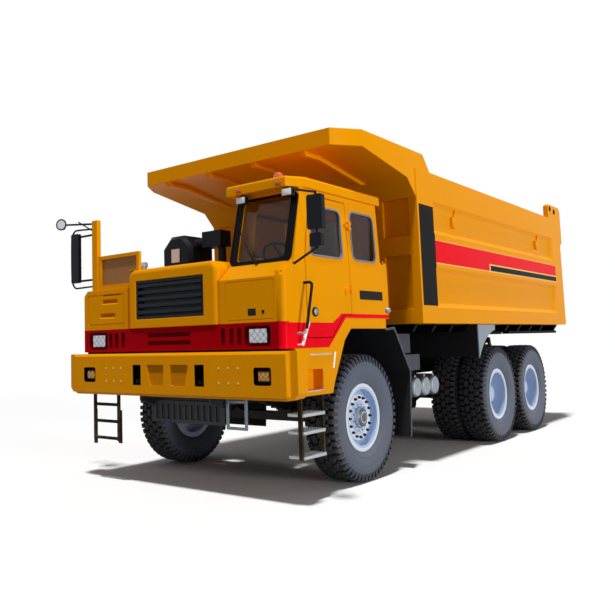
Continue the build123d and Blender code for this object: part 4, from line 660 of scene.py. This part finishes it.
tyre_mesh = tyre_shape()
print("tyre triangles", sum(len(polygon.vertices) - 2 for polygon in tyre_mesh.polygons))
tyre_half = 0.1875
wheels = []  # the node's first words, side, x of the axle and y of each tyre, the outer one first
for side, hand in ((1, "left"), (-1, "right")):
    for axle, word in (("front", "_tyre"), ("mid", "_tyres"), ("rear", "_tyres")):
        node = f"{axle}_{hand}{word}"
        inner, outer = sorted(ends(node, 1), key=abs)
        rows = [outer - side * tyre_half, inner + side * tyre_half][:1 if axle == "front" else 2]
        wheels.append((f"{axle}_{hand}", side, middle_of(node, 0), rows))
for wheel, side, x, rows in wheels:
    node = wheel + ("_tyres" if len(rows) == 2 else "_tyre")
    bm = bmesh.new()
    for y in rows:
        before = len(bm.verts)
        bm.from_mesh(tyre_mesh)
        bm.verts.ensure_lookup_table()
        bmesh.ops.translate(bm, verts=bm.verts[before:], vec=(x, y, axle_z))
    materials = [groove_rubber, sidewall_rubber, tread_rubber]
    finish_piece(node + "_tread", bm, materials, node, [node], smooth=30)
print("tyres", len(wheels))

# %% [markdown]
# A disc wheel is bolted through a ring of nuts. Sixteen dark nuts with stud ends stand on a pale
# ring, and a turned cap covers the bearing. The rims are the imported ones, softened, with a bright
# lock ring where the flange meets the tyre.

# %% Rims, nuts and hub caps
nut_circle, nut_radius, nut_height, stud_end = 0.214, 0.0165, 0.022, 0.012
disc_front, disc_twin = 0.082, -0.05  # how far the disc's face lies out from the tyre's middle
lock_ring = [(0.1395, 0.33), (0.1425, 0.336), (0.1425, 0.358), (0.1385, 0.3655), (0.134, 0.3655)]
nut_ring = [(-0.002, 0.246), (0.004, 0.242), (0.006, 0.236), (0.006, 0.192), (0.002, 0.186),
            (-0.002, 0.184)]
twin_cap = [(0.038, 0.112), (0.046, 0.106), (0.056, 0.078), (0.0575, 0.06), (0.0575, 0.0)]
front_cap = [(0.09, 0.118), (0.098, 0.118), (0.104, 0.108), (0.132, 0.1), (0.146, 0.078),
             (0.1505, 0.05), (0.1515, 0.022), (0.1515, 0.0)]


def ring_of(bm, centre, side, circle, distance, count, radius, height, stud=0.0, phase=0.0):
    """Hexagon nuts, some with stud ends, in a ring on a face that looks sideways."""
    for i in range(count):
        angle = 2 * pi * (i + phase) / count
        at = Vector((centre[0] + circle * cos(angle), centre[1] + side * distance,
                     centre[2] + circle * sin(angle)))
        put_bar(bm, at, at + Vector((0, side * height, 0)), radius, sides=6, tip=radius * 0.9)
        if stud:
            put_bar(bm, at, at + Vector((0, side * (height + stud), 0)), radius * 0.45, sides=8)


for wheel, side, x, rows in wheels:
    twin = len(rows) == 2
    node = wheel + ("_rims" if twin else "_rim")
    centre, axis = (x, rows[0], axle_z), (0, side, 0)
    dress(node, rim_grey, 0.004)
    face_at = disc_twin if twin else disc_front
    rings, nuts, cap = bmesh.new(), bmesh.new(), bmesh.new()
    put_turned(rings, lock_ring, centre, axis, 96)
    put_turned(rings, [(face_at + along, radius) for along, radius in nut_ring], centre, axis, 72)
    ring_of(nuts, centre, side, nut_circle, face_at + 0.004, 16, nut_radius, nut_height, stud_end)
    if twin:
        put_turned(cap, twin_cap, centre, axis, 48)
        ring_of(cap, centre, side, 0.093, 0.046, 10, 0.009, 0.01)
    else:
        ring_of(nuts, centre, side, 0.138, 0.094, 12, 0.008, 0.008, phase=0.5)
        put_turned(cap, front_cap, centre, axis, 64)
    finish_piece(wheel + "_wheel_rings", closed(rings), ring_white, node)
    finish_piece(wheel + "_wheel_nuts", closed(nuts), nut_black, node)
    finish_piece(wheel + "_hub_cap", closed(cap), rim_grey if twin else bearing_steel, node)
print("wheels dressed", len(wheels))

# %% [markdown]
# A window is a rounded hole, sealed with rubber. Each ring is drawn flat as two outlines with
# rounded corners, bridged, given its thickness and laid on the wall it seals, which leans: the
# cab's side above its crease, and the raked screen with its dark glued border.

# %% Window rubbers
cab_left_y, cab_right_y, cab_crease_z, side_lean = 1.5, 0.7, 2.2, 0.04 / 0.85
screen_foot_x, screen_foot_z, screen_rake = 4.12, 2.31, 0.2635
screen_normal_x, screen_normal_z = 0.967, 0.255


def side_wall(x, z, out):
    """A point on the cab's left wall, or so far outside it."""
    return Vector((x, cab_left_y - max(0.0, z - cab_crease_z) * side_lean + out, z))


def screen_wall(y, z, out):
    """A point on the plane of the raked windscreen, or so far in front of it."""
    return Vector((screen_foot_x - (z - screen_foot_z) * screen_rake + out * screen_normal_x, y,
                   z + out * screen_normal_z))


def right_wall(x, z, out):
    """A point on the cab's right wall, or so far outside it."""
    return Vector((x, cab_right_y - out, z))


def window_rim(name, outer, inner, place, like, material, corners, proud=0.004, deep=0.02,
               soft=0.0):
    """A flat ring between two outlines with their corner radii, laid on a wall and made solid."""
    bm = bmesh.new()
    for outline, radius in ((outer, corners[0]), (inner, corners[1])):
        others = set(bm.faces)
        face = bm.faces.new([bm.verts.new((across, up, 0)) for across, up in outline])
        if radius:
            bevel(bm, face.verts, radius, 6, "VERTICES", False)
        fresh = [face for face in bm.faces if face not in others]
        bmesh.ops.delete(bm, geom=sorted(fresh, key=lambda f: f.calc_area())[:-1], context="FACES")
    bmesh.ops.delete(bm, geom=list(bm.faces), context="FACES_ONLY")
    bmesh.ops.bridge_loops(bm, edges=list(bm.edges))
    front = set(drawn_out(bm, list(bm.faces)))
    for vert in bm.verts:
        vert.co = place(vert.co.x, vert.co.y, proud if vert in front else -deep)
    bmesh.ops.recalc_face_normals(bm, faces=bm.faces)
    if soft:
        rounded(bm, soft, 2, 60)
    return finish_piece(name, bm, material, like)


def grown(outline, more):
    """The outline with every corner moved outwards by so much each way."""
    middle = [sum(point[i] for point in outline) / len(outline) for i in (0, 1)]
    return [tuple(point[i] + (more if point[i] > middle[i] else -more) for i in (0, 1))
            for point in outline]


side_windows = {  # each with its outline, its wall and the node it belongs to
    "door_window": ([(3.86, 2.36), (3.775, 2.9), (3.2, 2.9), (3.2, 2.36)], side_wall,
                    "cab_door"),
    "quarter_window": ([(3.03, 2.365), (3.03, 2.925), (2.49, 2.925), (2.49, 2.365)], side_wall,
                       "cab_left"),
    "right_window": ([(3.8, 2.42), (3.7, 2.9), (2.7, 2.9), (2.7, 2.42)], right_wall,
                     "cab_right")}
for name, (window, place, like) in side_windows.items():
    window_rim(name + "_frame", grown(window, 0.012), grown(window, -0.01), place, like, yellow,
               (0.0, 0.085))
    window_rim(name + "_rubber", grown(window, -0.004), grown(window, -0.026), place, like,
               seal_grey, (0.088, 0.065), 0.01, 0.018, 0.003)
screen_window = [(0.775, 2.335), (1.38, 2.335), (1.38, 2.985), (0.775, 2.985)]
screen_edge = [(0.702, 2.312), (1.455, 2.312), (1.455, 2.996), (0.702, 2.996)]
window_rim("screen_border", screen_edge, grown(screen_window, -0.004), screen_wall, "cab_front",
           glass_border, (0.055, 0.045), 0.006, 0.003)
window_rim("screen_rubber", grown(screen_edge, 0.01), grown(screen_edge, -0.008), screen_wall,
           "cab_front", gasket_rubber, (0.065, 0.047), 0.012, 0.003, 0.003)
print("window rubbers made")

# %% [markdown]
# The wiper is a sprung arm on a pivot under the glass, with a rubber blade in a slim carrier, parked
# slanting across the lower corner. Four bars laid on the screen's plane make it.

# %% Wiper
pivot_y, pivot_z = 1.06, 2.3
joint_y, joint_z = 0.9, 2.493  # where the arm holds the blade's carrier
fitting("screen_wiper", plastic, "cab_front", bars=[
    (screen_wall(pivot_y, pivot_z, -0.01), screen_wall(pivot_y, pivot_z, 0.034), 0.018, 20),
    (screen_wall(pivot_y, pivot_z, 0.022), screen_wall(0.845, 2.56, 0.03), 0.0065, 10, 0.004),
    (screen_wall(1.0, 2.345, 0.016), screen_wall(0.8, 2.64, 0.016), 0.0085, 8),
    (screen_wall(joint_y, joint_z, 0.01), screen_wall(joint_y, joint_z, 0.034), 0.01, 10)])
print("wiper made")

# %% [markdown]
# Each lamp is a housing, a lens and, where the lens is clear, the pillows pressed into the glass.
# Head lamps sit in the red band, fog lamps in black pockets of the bumper, two work lamps and two
# amber markers on the roof's front, a third marker at the cab's rear, and a turned beacon on top.

# %% Lamps
band_x, bumper_x = ends("nose_band", 0)[1], ends("front_bumper", 0)[1]
head_y, head_z, fog_y, fog_z = 1.17, 1.588, 1.26, 1.205
work_lamp_ys, work_z, marker_ys = (0.804, 1.385), 2.991, (0.797, 1.3)
beacon_at = (3.7, 1.05, ends("cab_roof", 2)[1])
fitting("head_lamp_lenses", head_lens, "lamps", replaced=["lamps"], blocks=[
    ((band_x - 0.035, band_x - 0.0055), around(y, 0.108), around(head_z, 0.07), 0.012, 3)
    for y in both(head_y)])
fitting("fog_lamp_lenses", amber_lens, "lamps", blocks=[
    ((bumper_x - 0.055, bumper_x - 0.016), around(y, 0.066), around(fog_z, 0.047), 0.014, 3)
    for y in both(fog_y)])
fitting("work_lamp_lenses", work_lens, "lamps", blocks=[
    ((4.038, 4.056), around(y, 0.056), around(work_z, 0.034), 0.01, 3) for y in work_lamp_ys])
fitting("lamp_housings", plastic, "lamps", blocks=[
    *[((band_x - 0.04, band_x - 0.018), around(y, 0.116), around(head_z, 0.076), 0.008)
      for y in both(head_y)],
    *[((bumper_x - 0.06, bumper_x - 0.03), around(y, 0.082), around(fog_z, 0.062), 0.014, 3)
      for y in both(fog_y)],
    *[((3.985, 4.046), around(y, 0.064), around(work_z, 0.041), 0.012, 3) for y in work_lamp_ys]],
    bars=[((4.015, y, 3.025), (4.015, y, 3.062), 0.012, 12) for y in work_lamp_ys])
fitting("beacon_dome", beacon_lens, "lamps", turned=[
    ([(0.028, 0.0), (0.028, 0.062), (0.036, 0.064), (0.1, 0.058), (0.128, 0.042), (0.144, 0.02),
      (0.148, 0.0)], beacon_at, upwards, 40)])
fitting("beacon_base", plastic, "lamps", turned=[
    ([(0.0, 0.0), (0.0, 0.075), (0.024, 0.075), (0.03, 0.068), (0.03, 0.0)], beacon_at, upwards,
     40)])
fitting("roof_markers", beacon_lens, "cab_roof", blocks=[
    *[((4.056, 4.082), around(y, 0.036), (3.078, 3.108), 0.006) for y in marker_ys],
    ((2.352, 2.38), (1.496, 1.512), (2.37, 2.41), 0.004)])
print("lamps made")

# %% [markdown]
# The tail lamps are three round lenses in each bar end: red, amber and red.

# %% Tail lamps
tail_x, tail_z = ends("tail_bar", 0)[0], middle_of("tail_bar", 2)
tail_lens = [(-0.004, 0.03), (0.003, 0.03), (0.007, 0.022), (0.008, 0.0)]
for name, lens, places in (("red", red_lens, (0.86, 1.0)), ("amber", amber_lens, (0.93,))):
    fitting(f"tail_lamps_{name}", lens, "tail_bar", turned=[
        (tail_lens, (tail_x, y, tail_z), (-1, 0, 0), 24)
        for place in places for y in both(place)])
print("tail lamps made")

# %% [markdown]
# The cab's left side carries a round lamp in a rubber ring, a blank black plate, a lamp at the rear
# corner and the door's handle.

# %% Small fittings on the cab's left side
side_lamp_at, rear_lamp_at = (3.8, cab_left_y, 1.81), (2.315, cab_left_y, 1.85)
fitting("side_lamp_ring", rubber, "cab_door", turned=[
    ([(-0.002, 0.048), (0.01, 0.048), (0.018, 0.042), (0.018, 0.036), (0.012, 0.033)],
     side_lamp_at, sideways, 36)])
fitting("side_lamp_lens", trim_grey, "cab_door", turned=[
    ([(0.0, 0.036), (0.012, 0.036), (0.022, 0.026), (0.026, 0.0)], side_lamp_at, sideways, 32)])
fitting("blank_side_plate", blank_plate, "cab_left", blocks=[
    ((2.4, 2.908), (1.498, 1.5035), (1.958, 2.056), 0.0015, 1)])
fitting("rear_side_lamp", silver_tank, "cab_left", turned=[
    ([(-0.01, 0.034), (0.028, 0.034), (0.04, 0.026), (0.044, 0.0)], rear_lamp_at, sideways, 32)])
fitting("door_handle", yellow, "cab_door", blocks=[
    ((3.165, 3.225), (1.496, 1.502), (1.985, 2.085), 0.0025),
    ((3.178, 3.212), (1.502, 1.518), (2.0, 2.07), 0.005, 3)])
print("cab side fittings made")

# %% [markdown]
# The front carries what a workshop bolts on: two rows of bolt heads each side of the bumper, in a
# paler yellow as a painted highlight, a socket and a plug in the cab's pressed front, the filler
# cap, the guard's mesh, whose brown is painted shade, a dark seal over the bumper that also stands
# for the shade under the nose band, and white grips. The corner strip covers the joint between the
# cab's front and side, and leans back with the screen above it.

# %% Fittings on the front
cap_at = (4.2, -0.52, 2.385)
# bolt heads in the paler yellow, a painted highlight
fitting("bumper_bolts", bolt_highlight_yellow, "front_bumper", bars=[
    ((bumper_x - 0.006, y, z), (bumper_x + 0.0045, y, z), 0.013, 6, 0.011)
    for column in (0.72, 0.842, 0.965) for y in both(column) for z in (1.28, 1.135)])
fitting("front_socket", plastic, "cab_front",
        blocks=[((4.3, 4.3125), (1.063, 1.163), (1.784, 1.852), 0.003)],
        turned=[([(-0.01, 0.017), (0.004, 0.017), (0.006, 0.01), (0.006, 0.0)],
                 (4.31, 1.25, 1.816), forwards, 20)])
fitting("filler_cap", trim_grey, "hood", turned=[
    ([(0.0, 0.0), (0.0, 0.052), (0.02, 0.052), (0.024, 0.06), (0.06, 0.06), (0.072, 0.052),
      (0.074, 0.0)], cap_at, upwards, 28),
    ([(-0.03, 0.04), (0.02, 0.04)], cap_at, upwards, 24)])
fitting("cleaner_plate", pale_plate, "air_cleaner", blocks=[
    ((3.2485, 3.2545), (-0.99, -0.85), (2.56, 2.73), 0.002, 1)])
# a dark rubber strip over the bumper that also stands in for the shade in the gap under the nose band
fitting("nose_seal_and_shade_strip", gasket_rubber, "front_bumper", blocks=[
    ((4.205, 4.285), (-1.395, 1.475), (1.436, 1.464), 0.006)])
strip_y, strip_width, strip_thick = 1.428, 0.056, 0.02
slope_start, slope_end = Vector((4.306, strip_y, 2.196)), Vector((4.124, strip_y, 2.306))
slope = slope_end - slope_start
slope_middle = (slope_start + slope_end) / 2 - Vector((0.01, 0, 0.012))
bm = bmesh.new()
put_block(bm, (4.262, 4.3085), around(strip_y, strip_width / 2), (1.718, 2.198), 0.004)
bmesh.ops.create_cube(bm, size=1.0, matrix=Matrix.Translation(slope_middle)
                      @ slope.to_track_quat("X", "Z").to_matrix().to_4x4()
                      @ Matrix.Diagonal((slope.length, strip_width, strip_thick, 1)))
finish_piece("corner_strip", closed(bm), yellow, "cab_front")
fitting("white_grips", ring_white, "fenders", bars=[
    ((3.992, 1.552, 1.7), (4.108, 1.552, 1.486), 0.015, 16),
    ((4.108, 1.552, 1.492), (4.108, 1.5, 1.492), 0.01, 12),
    ((3.449, 1.494, 1.41), (3.492, 1.494, 1.251), 0.013, 12)])
# the mesh panel, brown as painted shade
fitting("guard_mesh", guard_mesh_shaded_brown, "deck_guard", blocks=[
    ((4.2515, 4.258), (-1.192, -0.515), (2.232, 2.545), 0.002, 1)])
fitting("radiator_shield", cast_iron, "radiator_guard", blocks=[
    ((3.936, 3.947), (-0.64, 0.432), (0.668, 0.972), 0.003, 1)])
fitting("front_bracket", trim_grey, "radiator_guard", blocks=[
    *[((3.948, 3.966), (y, y + 0.032), (0.63, 1.0), 0.003) for y in (0.462, 0.708)],
    *[((3.946, 3.964), (0.47, 0.732), (z, z + 0.03), 0.003) for z in (0.63, 0.905)]])
fitting("ladder_stiles", frame_black, "access_ladders", blocks=[
    ((4.222, 4.24), around(y, 0.026), (bottom, 0.8), 0.004)
    for y, bottom in ((-1.322, 0.405), (-0.892, 0.43))])
print("front fittings made")

# %% [markdown]
# Steps are pressed aluminium with raised teeth, so a wet boot holds. Each tread is a soft-edged
# plank with three rows of studs, and two strips of the same metal edge the cab's step recess.

# %% Treads and strips
tread_zs, stud_ys = (0.825, 0.66, 0.43), (1.36, 1.41, 1.46)
stud_xs = [3.715 + i * 0.04 for i in range(9)]
fitting("aluminium_treads", galvanised, "access_ladders", blocks=[
    *[((3.688, 4.062), (1.316, 1.503), (z - 0.016, z + 0.0155), 0.004) for z in tread_zs],
    ((3.692, 3.988), (1.47, 1.506), (1.04, 1.052), 0.003),
    ((3.53, 3.925), (1.492, 1.508), (1.386, 1.4), 0.003)],
    bars=[((x, y, z + 0.012), (x, y, z + 0.02), 0.01, 8, 0.007)
          for z in tread_zs for x in stud_xs for y in stud_ys])
print("treads made")

# %% [markdown]
# Mirror glass lies in the back of each moulded head, where the driver sees it. The round mirror at
# the right corner is a shallow dome that looks forward over the blind side. The right mirror's loop
# is bent tube, so it is drawn as a curve and given its thickness.

# %% Mirror glass and loop
left_glass_x, right_glass_x = (4.2365, 4.2405), (4.2515, 4.2555)
round_looks, loop_radius = (0.92, 0.38, 0.0), 0.011
fitting("mirror_glass", mirror_glass, "mirrors", blocks=[
    (left_glass_x, (1.79, 1.925), (2.56, 2.84), 0.0015, 1),
    (left_glass_x, (1.808, 1.907), (2.398, 2.488), 0.0015, 1),
    (right_glass_x, (-1.668, -1.552), (2.32, 2.88), 0.0015, 1)],
    turned=[([(0.0, 0.0), (0.0, 0.06), (0.006, 0.06), (0.018, 0.042), (0.024, 0.02),
              (0.026, 0.0)], (4.306, -1.866, 3.05), round_looks, 40)])
fitting("round_mirror_rim", plastic, "mirrors", turned=[
    ([(0.0, 0.0), (0.0, 0.058), (0.004, 0.072), (0.014, 0.072), (0.014, 0.058)],
     (4.302, -1.866, 3.05), round_looks, 40)])
line = bpy.data.curves.new("mirror_loop", "CURVE")
line.dimensions, line.bevel_depth, line.bevel_resolution = "3D", loop_radius, 3
line.resolution_u, line.use_fill_caps = 8, True
loop = line.splines.new("NURBS")
loop_points = [(4.27, -1.28, 2.93), (4.28, -1.48, 2.94), (4.28, -1.69, 2.95),
               (4.28, -1.695, 2.6), (4.28, -1.69, 2.232), (4.28, -1.48, 2.236),
               (4.27, -1.28, 2.24)]
loop.points.add(len(loop_points) - 1)
for point, at in zip(loop.points, loop_points):
    point.co = (*at, 1.0)
loop.order_u, loop.use_endpoint_u = 3, True
drawn = bpy.data.objects.new("mirror_loop_line", line)
bm = bmesh.new()
bm.from_mesh(bpy.data.meshes.new_from_object(drawn))
bpy.data.objects.remove(drawn)
put_bar(bm, (4.27, -1.285, 2.9), (4.28, -1.56, 3.045), 0.008, 12)
finish_piece("mirror_loop", closed(bm), plastic, "mirrors")
print("mirrors made")

# %% [markdown]
# The driver's seat is two upholstered pads on a moulded shell. A pad is a soft-edged block cut into
# a grid, whose faces are crowned, most in the middle and not at all at the piping, as foam under a
# sewn cover stands. The pads are mostly hidden behind tinted glass, so they are shaped directly
# instead of being blown up by a cloth simulation.

# %% Driver's seat
channel_pitch, channel_depth = 0.085, 0.004


def pad(name, low, high, crown_axis, crown, lean=0.0, replaced=()):
    """A crowned pad between two corners; lean moves it back as it rises."""
    bm = bmesh.new()
    put_block(bm, *zip(low, high), soft=0.028, segments=3)
    long_edges = [edge for edge in bm.edges if edge.calc_length() > 0.06]
    bmesh.ops.subdivide_edges(bm, edges=long_edges, cuts=7, use_grid_fill=True)
    middle = [(low[i] + high[i]) / 2 for i in range(3)]
    half = [(high[i] - low[i]) / 2 for i in range(3)]
    for vert in bm.verts:
        near = [1 - ((vert.co[i] - middle[i]) / half[i]) ** 2 for i in range(3) if i != crown_axis]
        swell = max(0.0, near[0]) * max(0.0, near[1])
        channel = channel_depth * sin((vert.co.y - middle[1]) * 2 * pi / channel_pitch) ** 8
        if vert.co[crown_axis] > middle[crown_axis]:
            vert.co[crown_axis] += (crown - channel) * swell
        vert.co.x -= lean * (vert.co.z - low[2])
    bmesh.ops.recalc_face_normals(bm, faces=bm.faces)
    piece = finish_piece(name, bm, seat_cloth, "driver_seat", replaced)


seat_low_y, seat_high_y = ends("driver_seat", 1)
seat_y, seat_half = (seat_low_y + seat_high_y) / 2, (seat_high_y - seat_low_y) / 2
seat_x, cushion_z, seat_post_z = 2.9, 2.08, 1.757
pad_low_y, pad_high_y = around(seat_y, seat_half - 0.01)
pad("seat_cushion", (seat_x + 0.12, pad_low_y, cushion_z + 0.02),
    (seat_x + 0.485, pad_high_y, cushion_z + 0.1), 2, 0.018, replaced=["driver_seat"])
pad("seat_back", (seat_x + 0.045, pad_low_y, cushion_z + 0.13),
    (seat_x + 0.125, pad_high_y, cushion_z + 0.77), 0, 0.02, lean=0.1)
fitting("seat_frame", seat_shell, "driver_seat", blocks=[
    ((seat_x + 0.02, seat_x + 0.47), around(seat_y, seat_half), (cushion_z, cushion_z + 0.022),
     0.008, 2),
    ((seat_x + 0.1, seat_x + 0.4), around(seat_y, seat_half - 0.08), (seat_post_z, 1.8), 0.006),
    *[((seat_x + 0.12, seat_x + 0.38), around(seat_y, seat_half - 0.1), (z, z + 0.052), 0.018)
      for z in (1.8, 1.86, 1.92, 1.98, 2.04)]],
    bars=[((seat_x + 0.045, y, cushion_z + 0.01), (seat_x - 0.025, y, cushion_z + 0.74), 0.016, 12)
          for y in around(seat_y, seat_half - 0.06)])
print("seat made")

# %% [markdown]
# Under the body, each air tank is held by two steel straps. The ears at the body's rear show turned
# pin heads, a long beam runs under each side of its floor, and lugs for a cover stand on its sides.

# %% Straps, pins, beams and lugs
body_side_y = ends("bed_sides", 1)[1]
fitting("tank_straps", frame_black, "tanks", turned=[
    ([(-0.018, 0.1245), (-0.018, 0.1285), (0.018, 0.1285), (0.018, 0.1245)], (x, y, 0.915),
     sideways, 40) for x in (1.28, 1.02, 0.76) for y in (0.72, 1.2)])
fitting("ear_pins", frame_black, "bed_sides", turned=[
    ([(-0.002, 0.046), (0.006, 0.046), (0.009, 0.04), (0.009, 0.0)], (x, side * body_side_y, z),
     (0, side, 0), 28) for side in (1, -1) for x, z in ((-4.0, 3.74), (-3.76, 3.77))])
fitting("floor_side_beams", frame_black, "bed_underframe", blocks=[
    ((-4.25, -0.9), (side * 1.18, side * 1.215), (1.58, 1.698), 0.004) for side in (1, -1)])
fitting("cover_lugs", yellow, "bed_sides",
        blocks=[(around(x, 0.045), (side * 1.595, side * 1.636), (2.965, 3.11), 0.006)
                for side in (1, -1) for x in (0.56, -2.9)],
        bars=[((x, side * 1.63, 3.01), (x, side * body_side_y, 3.01), 0.022, 20)
              for side in (1, -1) for x in (0.56, -2.9)])
print("straps, pins, beams and lugs made")

# %% [markdown]
# A studio cutout shows the machine on white with only its own shadow. The floor is pale and takes
# the shadow; where the camera, a mirror or a window looks past the machine it sees plain white. The
# sun stands high on the driver's side, as in the photograph, and a low fill lights that side.

# %% Floor, sky and sun
floor_half, floor_light, floor_seen = 60, 0.3, 1.14
bm = bmesh.new()
bmesh.ops.create_grid(bm, x_segments=1, y_segments=1, size=floor_half)
floor_mesh = bpy.data.meshes.new("floor")
bm.to_mesh(floor_mesh)
bm.free()
floor = bpy.data.objects.new("floor", floor_mesh)
bpy.context.collection.objects.link(floor)


def shown_white(paint, output, kinds, white):
    """Give rays of some kinds a plain white in place of the shader."""
    seen = 0.0
    for kind in kinds:
        ray = paint.node("LightPath", output=f"Is {kind} Ray")
        seen = ray.math("MAXIMUM", ray, seen)
    own = Signal(paint, paint.shader.outputs[0])
    shown = paint.node("MixShader", inputs={0: seen, 1: own, 2: white})
    paint.tree.links.new(shown.socket, paint.tree.nodes[output].inputs["Surface"])


def grey(light):
    """A grey of so much light, as a shader's colour."""
    return light, light, light, 1


backdrop = Paint("backdrop").set(Base_Color=grey(floor_light), Roughness=0.9)
white = backdrop.node("BsdfDiffuse", inputs={"Color": grey(floor_seen)})
shown_white(backdrop, "Material Output", ("Camera", "Glossy"), white)
floor_mesh.materials.append(backdrop.material)
sky = Paint("sky", bpy.data.worlds, "Background").set(Color=(0.95, 0.97, 1.0, 1), Strength=0.11)
bpy.context.scene.world = sky.material
white = sky.node("Background", inputs={"Color": grey(1), "Strength": 1.0})
shown_white(sky, "World Output", ("Camera", "Transmission", "Glossy"), white)
for name, energy, angle, light_from in (("sun", 2.45, 5, (0.27, 0.1, 0.957)),
                                        ("side_fill", 2.05, 16, (0.02, 0.995, 0.05))):
    light_data = bpy.data.lights.new(name, "SUN")
    light_data.energy = energy
    light_data.angle = radians(angle)
    light = bpy.data.objects.new(name, light_data)
    light.matrix_world = Vector(light_from).to_track_quat("Z", "Y").to_matrix().to_4x4()
    bpy.context.collection.objects.link(light)
bpy.context.scene.view_settings.view_transform = "Standard"
print("sun and sky set")
